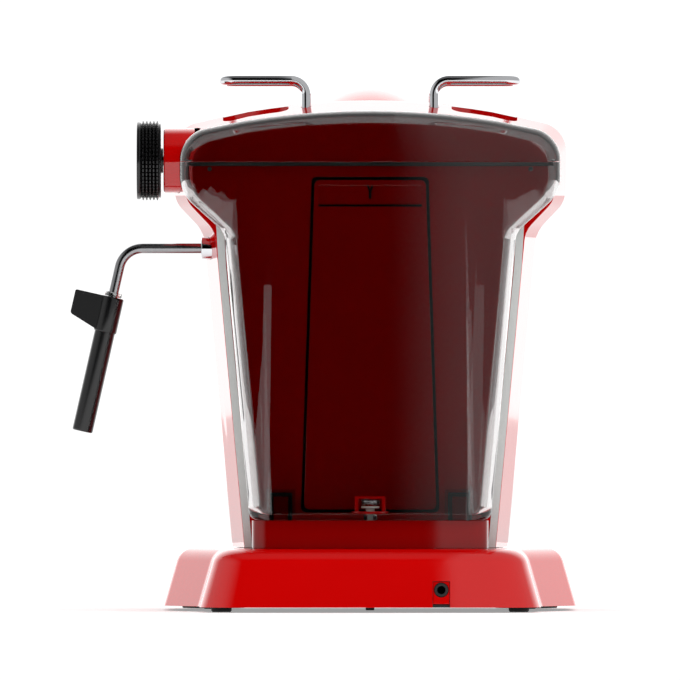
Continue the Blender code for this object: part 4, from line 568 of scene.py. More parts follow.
def housing_skin(inset, foot, front, rear):
    """Housing sections from the rounded front to the tapered rear."""
    rings = []
    for before_end, inwards in reversed(rounding(*FRONT_TURN, 9)):
        section = housing_section(inset + inwards, foot)
        rings.append([(x, front + before_end, z) for x, z in section])
    along, taper = REAR_TAPER
    for share in (0.0, 0.08, 0.35, 0.65, 0.97, 1.0):
        section = housing_section(inset + taper * share, foot)
        rings.append([(x, rear - along * (1 - share), z) for x, z in section])
    return rings


def pod_section(grow, tail):
    """Corners of half the pod's section, rounded off to a point at the tail."""
    reach = POD_TAIL - POD_DRUM_REAR + tail
    turns = [math.pi / 2 * step / 16 for step in range(17)]
    return [((POD_RADIUS + grow) * math.sin(t), POD_DRUM_REAR + reach * math.cos(t), 0.0)
            for t in turns]


def under_head(grow):
    """The cup space beside the column, seen from the side and let out by grow."""
    return outline([
        (COLUMN_FRONT + grow, -0.1, 0.0), (COLUMN_FRONT + grow, HEAD_UNDERSIDE + grow, 0.012),
        (HEAD_FRONT - 0.1, HEAD_UNDERSIDE + grow, 0.0), (HEAD_FRONT - 0.1, -0.1, 0.0),
    ], 8)


def across(points, half=0.2):
    """A bmesh block that runs across the machine with this (y, z) outline."""
    return skin_over([[(x, y, z) for y, z in points] for x in (-half, half)])


housing = piece("housing_shell", skin_over(housing_skin(0.0, HOUSING_FOOT, HEAD_FRONT, HOUSING_REAR)),
                red_abs)
cut(housing, across(under_head(0.0)))
rings = housing_skin(ABS_WALL, -0.02, HEAD_FRONT + ABS_WALL, HOUSING_REAR - ABS_WALL)
rings.append([(x, HOUSING_REAR + 0.02, z) for x, _, z in rings[-1]])
hollow = piece("hollow", skin_over(rings), red_abs)
cut(hollow, across(under_head(ABS_WALL)))
for side in (-1, 1):
    near, far, front, rear = CUP_TRAY
    xs = sorted((side * near, side * far))
    for grow, low in ((ABS_WALL, CUP_TRAY_FLOOR - ABS_WALL), (0.0, CUP_TRAY_FLOOR)):
        plan = outline([
            (xs[0] - grow, front - grow, 0.008 + grow), (xs[1] + grow, front - grow, 0.008 + grow),
            (xs[1] + grow, rear + grow, 0.008 + grow), (xs[0] - grow, rear + grow, 0.008 + grow),
        ])
        well = skin_over([[(x, y, z) for x, y in plan] for z in (low, ROOF_Z + 0.02)])
        cut(hollow if grow else housing, well)
hollowed(housing, hollow)
pod_space = pod_section(CLEAR_OF, CLEAR_OF) + [(POD_RADIUS + CLEAR_OF, -0.20, 0.0), (0.0, -0.20, 0.0)]
cut(housing, turned(pod_space, (0.0, 0.0, POD_Z), "Y"))
cut(housing, rod(GROUP_RADIUS + CLEAR_OF, -0.01, 0.01, (0.0, GROUP_Y, HEAD_UNDERSIDE), steps=96))
cut(housing, rod(COLLAR_RADIUS + CLEAR_OF, -0.03, 0.03, (HEAD_HALF, STEAM_Y, KNOB_Z), "X"))
cut(housing, rod(WAND_JOINT + CLEAR_OF, -0.02, 0.02, (COLUMN_TOP_HALF, STEAM_Y, WAND_Z), "X", steps=48))
for x, z in BUTTON_PLACES.values():
    cut(housing, rod(BUTTON_RADIUS + CLEAR_OF, -0.02, 0.02, (x, HEAD_FRONT, z), "Y", steps=48))
for x, y in RAIL_LEGS:
    cut(housing, rod(RAIL_WIRE + CLEAR_OF, -0.02, 0.02, (x, y, ROOF_Z), steps=32))
eased(housing, 0.0005, crease=38)
fitted(housing, "machine", "gloss_red", "main_housing")


# ---- Cup rails and cup trays ----
# Each rail is a chrome-plated steel wire, bent cold and pushed into two holes in the roof.
# Between them two stainless trays lie in pockets and warm the cups.

RAIL_TOP = 0.3390
RAIL_OUTER = 0.0939
RAIL_BEND = 0.0095
RAIL_SUNK = 0.0040

# Bright chrome plate: it mirrors the room. Handling leaves a faint haze in patches some
# 20 mm across.
chrome = mottled("bright_chrome_plate", "#DCDDE0", ("#D6D7DA", "#E4E5E8"), 0.020, 3.0, {
    "Metallic": 1.0, "Roughness": 0.06,
}, roughness=(0.03, 0.10))


def wire(name, corners, bend, radius, material, rounds=10):
    """A round wire or hose through corners, each bent to the same radius."""
    path = [Vector(corners[0])]
    for before, here, after in zip(corners, corners[1:], corners[2:]):
        here = Vector(here)
        back = (Vector(before) - here).normalized()
        on = (Vector(after) - here).normalized()
        half = back.angle(on) / 2
        centre = here + (back + on).normalized() * bend / math.sin(half)
        first = here + back * bend / math.tan(half) - centre
        axis = back.cross(on)
        for step in range(rounds + 1):
            turn = Matrix.Rotation((2 * half - math.pi) * step / rounds, 3, axis)
            path.append(centre + turn @ first)
    path.append(Vector(corners[-1]))
    curve = bpy.data.curves.new(name, "CURVE")
    curve.dimensions = "3D"
    curve.bevel_depth = radius
    curve.bevel_resolution = 5
    curve.use_fill_caps = True
    spline = curve.splines.new("POLY")
    spline.points.add(len(path) - 1)
    for point, at in zip(spline.points, path):
        point.co = (*at, 1.0)
    spline.use_smooth = True
    curve.materials.append(material)
    made = bpy.data.objects.new(name, curve)
    bpy.context.scene.collection.objects.link(made)
    return made


for side, sign in SIDES:
    inner, outer = sign * RAIL_LEGS[2][0], sign * RAIL_OUTER
    (_, rear), (_, front) = RAIL_LEGS[:2]
    foot = crown(inner, ROOF_Z, ROOF_CROWN) - RAIL_SUNK
    rail = wire(f"rail_{side}", [
        (inner, rear, foot), (inner, rear, RAIL_TOP), (outer, rear, RAIL_TOP),
        (outer, front, RAIL_TOP), (inner, front, RAIL_TOP), (inner, front, foot),
    ], RAIL_BEND, RAIL_WIRE, chrome)
    fitted(rail, "machine", "chrome", f"cup_rail_{side}")
    from_cad(f"cup_tray_{side}", f"warming_tray_{side}", brushed_steel, "machine", "steel", 0.0003)


# ---- Rear cover ----
# A red ABS cover closes the housing behind the tank, with a service panel let into it.
# A pale grey foam strip seals the cover's edge, and the panel has a finger recess.

COVER_REAR = 0.0678
SEAL_TOP = 0.2460
SEAL_WIDTH = 0.0048
SEAL_THICKNESS = 0.0005
SHADE_SHEET_HALF = 0.046
SHADE_SHEET_FRONT = 0.0640
SHADE_SHEET_REAR = 0.0652
SHADE_SHEET_FOOT = 0.060
SHADE_SHEET_TOP = 0.280
GRIP_HALF = 0.0330
GRIP_FOOT = 0.2580
TAB_TOP = 0.2740
TAB_FOOT = 0.2630
TAB_HALF = 0.0032

# Closed-cell foam strip: pale grey and matt, its cells a millimetre across.
foam, tree, shader = new_material("grey_foam_seal", "#D7D9D7", {"Roughness": 0.65, "IOR": 1.45})
place = add_node(tree, "ShaderNodeTexCoord").outputs["Object"]
cells = add_node(tree, "ShaderNodeTexVoronoi", {"Vector": place, "Scale": 1 / 0.0010})
tint = add_node(tree, "ShaderNodeMix", {
    0: cells.outputs["Distance"], 6: linear("#CFD1CF"), 7: linear("#DDDEDC"),
}, data_type="RGBA")
tree.links.new(tint.outputs[2], shader.inputs["Base Color"])

# Painted shade: a near-black that stands for the shade down the narrow grooves round the service panel and
# under its finger recess. The Y-shaped latch is drawn in it too.
shade_and_latch_black = mottled("groove_shade_and_latch_black", "#1A0404", ("#160303", "#220606"), 0.005, 2.0, {"Roughness": 0.8})

from_cad("rear_cover", "back_cover", red_abs, "machine", "gloss_red", 0.0004)
from_cad("service_panel", "back_panel", red_abs, "machine", "gloss_red", 0.0004)
# A near-black sheet behind the cover is painted shade: seen through the grooves round the service panel, it
# stands for their shade.
shade_sheet = piece("painted_groove_shade", block((-SHADE_SHEET_HALF, SHADE_SHEET_FRONT, SHADE_SHEET_FOOT),
                                        (SHADE_SHEET_HALF, SHADE_SHEET_REAR, SHADE_SHEET_TOP)), shade_and_latch_black)
fitted(shade_sheet, "machine", "gloss_red")
for side, sign in SIDES:
    band = []
    for y in (COVER_REAR, COVER_REAR + SEAL_THICKNESS):
        edge = []
        for z in [HOUSING_FOOT + (SEAL_TOP - HOUSING_FOOT) * i / 8 for i in range(9)]:
            slope = (COLUMN_TOP_HALF - COLUMN_FOOT_HALF) / (FLARE_Z - BASE_TOP)
            half = COLUMN_FOOT_HALF + (min(z, HEAD_UNDERSIDE) - BASE_TOP) * slope - REAR_TAPER[1] - CLEAR_OF
            edge.append((half, z))
        band.append([(sign * x, y, z) for x, z in edge]
                    + [(sign * (x - SEAL_WIDTH), y, z) for x, z in reversed(edge)])
    fitted(piece(f"seal_{side}", skin_over(band), foam), "machine", "gloss_red")
# A painted shadow: a near-black strip along the lower edge of the finger recess.
shade = block((-GRIP_HALF, COVER_REAR - 0.0012, GRIP_FOOT),
              (GRIP_HALF, COVER_REAR - CLEAR_OF, GRIP_FOOT + 0.0014))
fitted(piece("grip_recess_shadow", shade, shade_and_latch_black), "machine", "gloss_red")
tab = skin_over([[(x, y, z) for x, z in (
    (-TAB_HALF, TAB_TOP), (-TAB_HALF + 0.0016, TAB_TOP), (0.0, TAB_TOP - 0.0045),
    (TAB_HALF - 0.0016, TAB_TOP), (TAB_HALF, TAB_TOP), (0.0009, TAB_TOP - 0.0062),
    (0.0009, TAB_FOOT), (-0.0009, TAB_FOOT), (-0.0009, TAB_TOP - 0.0062),
)] for y in (COVER_REAR - 0.0012, COVER_REAR - 0.0004)])
fitted(piece("panel_latch", tab, shade_and_latch_black), "machine", "gloss_red")


# ---- Tank pedestal ----
# The tank stands on a red ABS pedestal. Two ribs locate it, and a rubber seat in the
# middle holds the pin that lifts the tank's valve.

PEDESTAL_HALF = 0.0752
PEDESTAL_FRONT = 0.0684
PEDESTAL_REAR = 0.1095
PEDESTAL_TOP = 0.0582
RIB_X = 0.0568
RIB_HALF = 0.0068
RIB_FRONT = 0.0764
RIB_REAR = 0.0864
RIB_TOP = 0.0755
DARK_EDGE_WIDTH = 0.0022
VALVE_Y = 0.0910
SEAT_DEPTH = 0.0080
SEAT_RADIUS = 0.0103
SUCTION_Z = 0.0495
SUCTION_RADIUS = 0.0040

# The same ABS with painted shade: a darker red that stands for the shade the pedestal sits in under the tank.
painted_shade_red_abs = mottled("red_abs_painted_shade", "#7C0000", ("#780000", "#820101"), 0.060, 2.0, {
    "Roughness": 0.03, "IOR": 1.54,
})



def bowed_plan(half, front, rear, bow, bow_radius, front_corner, rear_corner):
    """A plan with a straight front and a rear that bows out in the middle."""
    return outline([
        (-half, front, front_corner), (half, front, front_corner), (half, rear, rear_corner),
        (0.0, rear + bow, bow_radius), (-half, rear, rear_corner),
    ], 10)


plan = bowed_plan(PEDESTAL_HALF, PEDESTAL_FRONT, PEDESTAL_REAR, 0.0010, 3.0, 0.002, 0.012)
pedestal = piece("pedestal", skin_over([[(x, y, z) for x, y in plan] for z in (HOUSING_FOOT, PEDESTAL_TOP)]),
                 painted_shade_red_abs)
for side in (-1, 1):
    cut(pedestal, block((side * RIB_X - RIB_HALF, RIB_FRONT, PEDESTAL_TOP - 0.004),
                        (side * RIB_X + RIB_HALF, RIB_REAR, RIB_TOP)), "UNION")
cut(pedestal, rod(SEAT_RADIUS, -SEAT_DEPTH, 0.01, (0.0, VALVE_Y, PEDESTAL_TOP), steps=64))
cut(pedestal, rod(SUCTION_RADIUS, -0.02, VALVE_Y - PEDESTAL_FRONT,
                  (0.0, PEDESTAL_FRONT, SUCTION_Z), "Y", steps=32))
eased(pedestal, 0.0006)
fitted(pedestal, "machine", "gloss_red", "tank_pedestal")
# Painted dark edge: round each rib's rear face a black rubber U stands in for the dark line that refraction
# at the tank's clear pocket walls gives there.
for name, side in SIDES:
    arch = piece(f"rib_dark_edge_{name}", block(
        (side * RIB_X - RIB_HALF - CLEAR_OF, RIB_REAR - 0.0004, PEDESTAL_TOP),
        (side * RIB_X + RIB_HALF + CLEAR_OF, RIB_REAR + CLEAR_OF, RIB_TOP + 0.0002)), rubber)
    cut(arch, block((side * RIB_X - RIB_HALF + DARK_EDGE_WIDTH, RIB_REAR - 0.01, PEDESTAL_TOP - 0.01),
                    (side * RIB_X + RIB_HALF - DARK_EDGE_WIDTH, RIB_REAR + 0.01, RIB_TOP - DARK_EDGE_WIDTH)))
    fitted(arch, "machine", "gloss_red")
from_cad("valve_seat", "outlet_seat", rubber, "machine", "rubber", 0.0)


# ---- Water tank and lid ----
# The tank and its lid are injection moulded in clear, smoke-tinted SAN, 2.5 mm thick. The
# rear wall bows out a little; the lid drops on with a lip line all round.

TANK_FRONT = 0.0684
TANK_REAR = 0.1135
TANK_BOW = 0.0022
TANK_EDGE = 0.010
TANK_FOOT_HALF = 0.0768
TANK_NECK_HALF = 0.0929
TANK_NECK_Z = 0.2415
TANK_HALF = 0.1212
TANK_SHOULDER_Z = 0.267
TANK_BOTTOM = 0.0585
TANK_FLOOR = 0.0035
PARTING = 0.2863
LID_TOP = 0.3189
LID_CROWN = 0.500
LID_CORNER = 0.020
LOCATOR_BOX = (0.0074, 0.0758, 0.0870, 0.0761)
OUTLET = 0.0043
RIB_SKIN = 0.0018
DOT_X = 0.1020
DOT_Z = 0.2817
DOT_RADIUS = 0.0015
LID_SEAL_FOOT = 0.2838
LID_SEAL_SET_IN = 0.0031
LID_SEAL_WIDTH = 0.0015

# Smoke-tinted clear SAN: it lets the red behind it through darkened, and its polished
# faces mirror the room, so the thick edges turn grey.
clear_san = mottled("smoked_clear_san", "#E6E4E4", ("#E4E2E2", "#E8E6E6"), 0.080, 1.0, {
    "Roughness": 0.015, "IOR": 1.50, "Transmission Weight": 1.0,
}, skin=(0.030, 1.0, 0.03, 0.0003))


def tank_section(inset, foot, top):
    """The tank seen from behind, brought in all round."""
    slope = (TANK_NECK_HALF - TANK_FOOT_HALF) / (TANK_NECK_Z - TANK_BOTTOM)
    foot_half = TANK_FOOT_HALF + (foot - TANK_BOTTOM) * slope
    return outline(mirrored([
        (0.0, foot, 0.0), (foot_half - inset, foot, 0.006),
        (TANK_NECK_HALF - inset, TANK_NECK_Z, 0.012), (TANK_HALF - inset, TANK_SHOULDER_Z, 0.022),
        (TANK_HALF - inset, top, 0.0), (0.0, top, 0.0),
    ]), 9)


def lid_section(inset, foot, top):
    """The lid seen from behind, brought in at its sides and top."""
    roof = [(x, crown(x, top - inset, LID_CROWN), 0.0) for x in (0.080, 0.064, 0.048, 0.032, 0.016)]
    return outline(mirrored([
        (0.0, foot, 0.0), (TANK_HALF - inset, foot, 0.0),
        (TANK_HALF - inset, crown(TANK_HALF, top, LID_CROWN) - inset, LID_CORNER - inset * 0.5),
        *roof, (0.0, top - inset, 0.0),
    ]), 10)


def bowed(section, wall, foot, top, front=TANK_FRONT):
    """A tank shape's skin, rounded at its rear edge and bowed out across its rear wall."""
    rings = [[(x, front + wall, z) for x, z in section(wall, foot, top)]]
    for before_end, inwards in rounding(TANK_EDGE, TANK_EDGE * 0.7, 8):
        y = TANK_REAR - wall - before_end
        rings.append([(x, y, z) for x, z in section(wall + inwards, foot, top)])
    bm = skin_over(rings)
    for i in range(-15, 16):
        bmesh.ops.bisect_plane(bm, geom=bm.verts[:] + bm.edges[:] + bm.faces[:],
                               plane_co=(i * 0.0075, 0, 0), plane_no=(1, 0, 0), dist=0.000001)
    for vert in bm.verts:
        share = (vert.co.y - TANK_FRONT) / (TANK_REAR - TANK_FRONT)
        vert.co.y += TANK_BOW * share * max(0.0, 1 - (vert.co.x / TANK_HALF) ** 2)
    return bm


tank = piece("tank", bowed(tank_section, 0.0, TANK_BOTTOM, PARTING), clear_san)
half, front, rear, top = LOCATOR_BOX
for side in (-1, 1):
    cut(tank, block((side * RIB_X - half, front, TANK_BOTTOM - 0.01),
                    (side * RIB_X + half, rear, top)))
inside = piece("inside", bowed(tank_section, ABS_WALL, TANK_BOTTOM + TANK_FLOOR, PARTING + 0.01),
               clear_san)
for side in (-1, 1):
    cut(inside, block((side * RIB_X - half - RIB_SKIN, front - RIB_SKIN, TANK_BOTTOM),
                      (side * RIB_X + half + RIB_SKIN, rear + RIB_SKIN, top + RIB_SKIN)))
hollowed(tank, inside)
cut(tank, rod(OUTLET, -0.02, 0.02, (0.0, VALVE_Y, TANK_BOTTOM), steps=48))
eased(tank, 0.0005)
fitted(tank, "tank", "clear_plastic", "water_tank")
for side, sign in SIDES:
    bow = TANK_REAR + TANK_BOW * (1 - (DOT_X / TANK_HALF) ** 2)
    dot = piece(f"tank_stop_{side}", rod(DOT_RADIUS, -ABS_WALL - 0.0012, -ABS_WALL - 0.0002,
                                         (sign * DOT_X, bow, DOT_Z), "Y", 0.0002, 24), black_abs)
    fitted(dot, "tank", "clear_plastic")
lid = piece("lid", bowed(lid_section, 0.0, PARTING + CLEAR_OF, LID_TOP), clear_san)
cut(lid, bowed(lid_section, ABS_WALL, PARTING - 0.01, LID_TOP))
eased(lid, 0.0005)
fitted(lid, "lid", "clear_plastic", "tank_lid")

# A dark rubber strip under the lid's rim seats in the tank's mouth.
inner, outer = (
    bowed_plan(TANK_HALF - inset, TANK_FRONT + inset, TANK_REAR - inset, TANK_BOW, 2.0, 0.001, 0.008)
    for inset in (LID_SEAL_SET_IN + LID_SEAL_WIDTH, LID_SEAL_SET_IN))
lid_seal = piece("lid_seal", skin_over([[(x, y, z) for x, y in outer]
                                        for z in (LID_SEAL_FOOT, PARTING - CLEAR_OF)]), rubber)
cut(lid_seal, skin_over([[(x, y, z) for x, y in inner] for z in (LID_SEAL_FOOT - 0.01, PARTING + 0.01)]))
fitted(lid_seal, "lid", "clear_plastic")


# ---- Tank valve ----
# A red ABS cage holds a sprung silicone disc over the tank's outlet. The pin in the seat
# lifts it while the tank stands in place.

# Silicone: translucent off-white, silky, with a bloom in patches about 6 mm across.
silicone = mottled("moulded_silicone", "#D8D4CC", ("#D0CCC4", "#E0DCD5"), 0.006, 2.0, {
    "Roughness": 0.45, "IOR": 1.41, "Subsurface Weight": 0.25, "Subsurface Scale": 0.002,
})

from_cad("valve_cage", "outlet_cage", red_abs, "tank", "gloss_red", 0.0003)
from_cad("tank_valve", "outlet_disc", silicone, "plunger", "silicone", 0.0002)


def kept(node, material):
    """Gives a CAD node that needs no new shape its finish."""
    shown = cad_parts[node]
    shown.data.materials.clear()
    shown.data.materials.append(material)


kept("valve_spring", brushed_steel)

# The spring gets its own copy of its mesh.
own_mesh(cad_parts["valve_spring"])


# ---- Splash panel ----
# A brushed stainless panel, punched and held by tape, covers the front of the column.

from_cad("splash_panel", "splash_plate", brushed_steel, "machine", "steel", 0.0003)


# ---- Pressure gauge ----
# The gauge sits in a red ABS pod that runs back into the roof. A chrome bezel holds its
# glass over a printed dial, and a black pointer turns on a steel hub.

POD_FRONT = -0.146
DIAL_FACE = -0.1380
DIAL_BORE = POD_RADIUS - ABS_WALL - CLEAR_OF
BEZEL_FRONT = POD_FRONT - CLEAR_OF
POD_CUT = 0.302
NEEDLE_LENGTH = 0.030
NEEDLE_TAIL = 0.008
NEEDLE_WIDTH = 0.0022
NEEDLE_THICKNESS = 0.0008
BAND_RADII = (0.0300, 0.0325)
TICK_OUTER = 0.0395
TICK_SWEEP = math.radians(240)
TICK_COUNT = 33
BAND_FROM = math.radians(-10)
BAND_TO = math.radians(50)

outer = pod_section(0.0, 0.0) + [(POD_RADIUS, POD_FRONT, 0.0005)]
inner = [(radius - ABS_WALL, y - ABS_WALL, 0.0) for radius, y, _ in pod_section(0.0, 0.0)[1:]]
inner = [(0.0, POD_TAIL - ABS_WALL, 0.0)] + [corner for corner in inner if corner[0] > 0.0]
pod = piece("pod_shell", turned(
    outer + [(POD_RADIUS - ABS_WALL, POD_FRONT, 0.0005)] + inner[::-1], (0.0, 0.0, POD_Z), "Y", 128,
), red_abs)
cut(pod, block((-0.08, POD_DRUM_REAR, POD_Z - 0.08), (0.08, POD_TAIL + 0.02, POD_CUT)))
eased(pod, 0.0003, crease=40)
fitted(pod, "machine", "gloss_red", "gauge_pod")

# Printed card: matt off-white, with a faint fibre some 0.6 mm long.
dial_card = mottled("printed_dial_card", "#EDEBE4", ("#E9E7E0", "#F1EFE9"), 0.0006, 2.0, {"Roughness": 0.6})
dial = rod(DIAL_BORE, DIAL_FACE, DIAL_FACE + 0.0015, (0, 0, POD_Z), "Y", steps=96)
fitted(piece("dial", dial, dial_card), "machine", "dial_white", "gauge_dial")

# Printing inks: black for the scale, green for the brewing range; a screen leaves them
# a little uneven over 2 mm.
inks = {}
for name, low, high in (("black", "#1A1A1A", "#242424"), ("green", "#2E7D3A", "#388A45")):
    ink = mottled(f"printed_{name}_ink", low, (low, high), 0.002, 2.0, {"Roughness": 0.5})
    inks[name] = ink

scale = bmesh.new()
for tick in range(TICK_COUNT):
    long = tick % 4 == 0
    length, width = (0.0060, 0.0009) if long else (0.0035, 0.0005)
    mark = bmesh.ops.create_grid(scale, x_segments=1, y_segments=1, size=0.5)["verts"]
    bmesh.ops.scale(scale, vec=(width, length, 1.0), verts=mark)
    bmesh.ops.translate(scale, vec=(0.0, TICK_OUTER - length / 2, 0.0), verts=mark)
    angle = TICK_SWEEP * (tick / (TICK_COUNT - 1) - 0.5)
    bmesh.ops.rotate(scale, matrix=Matrix.Rotation(angle, 3, "Z"), verts=mark)
rise = Matrix.Translation((0.0, DIAL_FACE - 0.00015, POD_Z)) @ Matrix.Rotation(math.radians(90), 4, "X")
bmesh.ops.transform(scale, matrix=rise, verts=scale.verts)
fitted(piece("dial_scale", scale, inks["black"]), "machine", "dial_white")
band = bmesh.new()
foot = [band.verts.new((0.0, radius, 0.0)) for radius in BAND_RADII]
bmesh.ops.rotate(band, matrix=Matrix.Rotation(BAND_FROM, 3, "Z"), verts=foot)
bmesh.ops.spin(band, geom=foot + [band.edges.new(foot)], cent=(0, 0, 0), axis=(0, 0, 1),
               angle=BAND_TO - BAND_FROM, steps=24)
bmesh.ops.transform(band, matrix=rise, verts=band.verts)
bmesh.ops.recalc_face_normals(band, faces=band.faces)
fitted(piece("dial_band", band, inks["green"]), "machine", "dial_white")

bezel = piece("bezel", turned([
    (POD_RADIUS, BEZEL_FRONT, 0.0), (POD_RADIUS + 0.0005, BEZEL_FRONT - 0.0022, 0.0006),
    (POD_RADIUS - 0.0020, BEZEL_FRONT - 0.0046, 0.0014), (POD_RADIUS - 0.0050, BEZEL_FRONT - 0.0046, 0.0012),
    (POD_RADIUS - 0.0075, BEZEL_FRONT - 0.0028, 0.0010), (POD_RADIUS - 0.0075, BEZEL_FRONT - 0.0003, 0.0),
    (POD_RADIUS - 0.0090, BEZEL_FRONT, 0.0),
], (0.0, 0.0, POD_Z), "Y", 128), chrome)
fitted(bezel, "machine", "chrome", "gauge_bezel")

# Clear gauge glass: water white and flat; its own faint waves are 20 mm long.
glass = mottled("clear_gauge_glass", "#FAFCFB", ("#F8FBFA", "#FDFEFD"), 0.020, 2.0, {
    "Roughness": 0.005, "IOR": 1.50, "Transmission Weight": 1.0,
})
lens = piece("gauge_glass", rod(DIAL_BORE - 0.0010, BEZEL_FRONT + 0.0006, BEZEL_FRONT + 0.0016,
                                (0, 0, POD_Z), "Y", 0.0002, 96), glass)
fitted(lens, "machine", "clear_plastic", "gauge_lens")

hub_front = DIAL_FACE - 0.0045
pointer_y = DIAL_FACE - 0.0030
needle = bmesh.new()
blade = bmesh.ops.create_cube(needle, size=1.0)["verts"]
bmesh.ops.scale(needle, verts=blade,
                vec=(NEEDLE_LENGTH + NEEDLE_TAIL, NEEDLE_THICKNESS, NEEDLE_WIDTH))
bmesh.ops.translate(needle, verts=blade,
                    vec=((NEEDLE_TAIL - NEEDLE_LENGTH) / 2, pointer_y + NEEDLE_THICKNESS / 2, 0.0))
tip = [vert for vert in blade if vert.co.x < -NEEDLE_LENGTH / 2]
bmesh.ops.scale(needle, vec=(1.0, 1.0, 0.3), verts=tip)
bmesh.ops.translate(needle, vec=(0.0, 0.0, POD_Z), verts=needle.verts)
needle = piece("pointer", needle, black_abs)
cut(needle, rod(0.0040, hub_front, DIAL_FACE - CLEAR_OF, (0, 0, POD_Z), "Y", 0.0004, 48), "UNION")
fitted(needle, "needle", "black_plastic", "gauge_needle")


# ---- Buttons ----
# A black rocker cap switches the power; two stainless-faced buttons start brewing and
# steam. Each slides in a chrome trim ring pressed into the housing.

HOUSING_INNER = HEAD_FRONT + ABS_WALL
BUTTON_FRONT = HEAD_FRONT - 0.0035

for name, (x, z) in BUTTON_PLACES.items():
    cap = turned([
        (0.0, HOUSING_INNER + 0.0030, 0.0), (BUTTON_RADIUS + 0.0020, HOUSING_INNER + 0.0030, 0.0003),
        (BUTTON_RADIUS + 0.0020, HOUSING_INNER + 0.0006, 0.0003),
        (BUTTON_RADIUS, HOUSING_INNER + 0.0006, 0.0),
        (BUTTON_RADIUS, BUTTON_FRONT, 0.0012), (BUTTON_RADIUS - 0.0030, BUTTON_FRONT, 0.0005),
        (0.0, BUTTON_FRONT + 0.0006, 0.0),
    ], (x, 0.0, z), "Y", 64)
    finish = (black_abs, "black_plastic") if name == "power" else (brushed_steel, "steel")
    fitted(piece(f"{name}_cap", cap, finish[0]), f"{name}_button", finish[1], f"{name}_button")
    trim = tube(BUTTON_RADIUS + 0.0022, BUTTON_RADIUS + 0.0004, HEAD_FRONT - 0.0009, HEAD_FRONT + 0.0006,
                (x, 0.0, z), "Y", 0.0004)
    fitted(piece(f"{name}_trim", trim, chrome), "machine", "chrome")


# ---- Group head ----
# The group is cast aluminium, machined where the filter holder locks in. Its rubber gasket
# and pressed steel shower screen hang inside it.

# Cast aluminium: sand leaves grains near 1.2 mm, dull grey with small bright crests.
cast_aluminium = mottled("cast_aluminium", "#A6A7A9", ("#969799", "#B6B7B9"), 0.0012, 3.0, {
    "Metallic": 1.0, "Roughness": 0.42,
}, skin=(0.0012, 3.0, 0.25, 0.0002))

from_cad("group_head", "group", cast_aluminium, "machine", "aluminium", 0.0004)
from_cad("group_gasket", "gasket", rubber, "machine", "rubber", 0.0)
from_cad("shower_screen", "screen", brushed_steel, "machine", "steel", 0.0)


# ---- Portafilter ----
# The filter holder is chrome-plated brass with a screwed-on twin spout and a black handle
# in textured ABS. A pressed stainless basket drops in from above.

HANDLE_Z = 0.1955
HANDLE_START = -0.0453
HANDLE_LENGTH = 0.115
HANDLE_RADIUS = 0.0130
NECK = 0.1817
SPOUT_Z = 0.1560
SPOUT_NECK = 0.0068
SPOUT_NECK_LENGTH = 0.012
SPOUT_RADIUS = 0.0048
SPOUT_BEND = 0.0060

from_cad("filter_holder", "holder", chrome, "portafilter", "chrome", 0.0005)
from_cad("filter_basket", "basket", brushed_steel, "portafilter", "steel", 0.0)
handle = piece("handle", turned([
    (0.0, HANDLE_START, 0.0), (0.0095, HANDLE_START, 0.0008), (0.0100, HANDLE_START - 0.010, 0.020),
    (HANDLE_RADIUS - 0.0015, HANDLE_START - HANDLE_LENGTH * 0.35, 0.060),
    (HANDLE_RADIUS, HANDLE_START - HANDLE_LENGTH * 0.60, 0.060),
    (HANDLE_RADIUS - 0.0010, HANDLE_START - HANDLE_LENGTH * 0.85, 0.020),
    (HANDLE_RADIUS - 0.0045, HANDLE_START - HANDLE_LENGTH * 0.97, 0.004),
    (0.0, HANDLE_START - HANDLE_LENGTH, 0.0),
], (0.0, GROUP_Y, HANDLE_Z), "Y", 64, 6), black_abs)
fitted(handle, "portafilter", "black_plastic", "portafilter_handle")
spout = piece("spout_neck", rod(SPOUT_NECK, NECK - SPOUT_NECK_LENGTH, NECK,
                                (0.0, GROUP_Y, 0.0), rounding=0.0006), chrome)
fitted(spout, "portafilter", "chrome", "spout")
for side, sign in SIDES:
    lip = wire(f"spout_{side}", [
        (0.0, GROUP_Y, NECK - 0.0070), (sign * 0.0145, GROUP_Y, NECK - 0.0090),
        (sign * 0.0165, GROUP_Y, SPOUT_Z),
    ], SPOUT_BEND, SPOUT_RADIUS, chrome)
    fitted(lip, "portafilter", "chrome")


# ---- Steam knob and collar ----
# The knob is black ABS, moulded with five ridges of small teeth for grip. It turns the
# steam valve's spindle through a red collar that is part of the housing's trim.

KNOB_RADIUS = 0.02535
KNOB_INNER = 0.1334
KNOB_OUTER = 0.1489
COLLAR_OUTER = 0.1318
COLLAR_ROOT = 0.1120
COLLAR_INNER = 0.1183
SPINDLE = 0.0030
SPINDLE_START = 0.0986
SPINDLE_END = 0.1424
KNOB_HUB = 0.0080
KNOB_BORE_END = 0.1427
KNOB_FACE = (0.0160, 0.0008)
VALVE_SPACE = 0.0135
TOOTH_INSET = 0.0005
RIDGES = 5
TEETH = 60
TOOTH_DEPTH = 0.0012
RIDGE_FROM = KNOB_INNER + 0.0012
RIDGE_TO = KNOB_OUTER - 0.0030

# Polished black ABS: the mould is smooth, so small hard glints sit on deep black. The mix
# of the pigment shows faintly over 25 mm.
polished_black = mottled("polished_black_abs", "#0B0B0C", ("#0A0A0B", "#101011"), 0.025, 2.0, {
    "Roughness": 0.20, "IOR": 1.54,
})

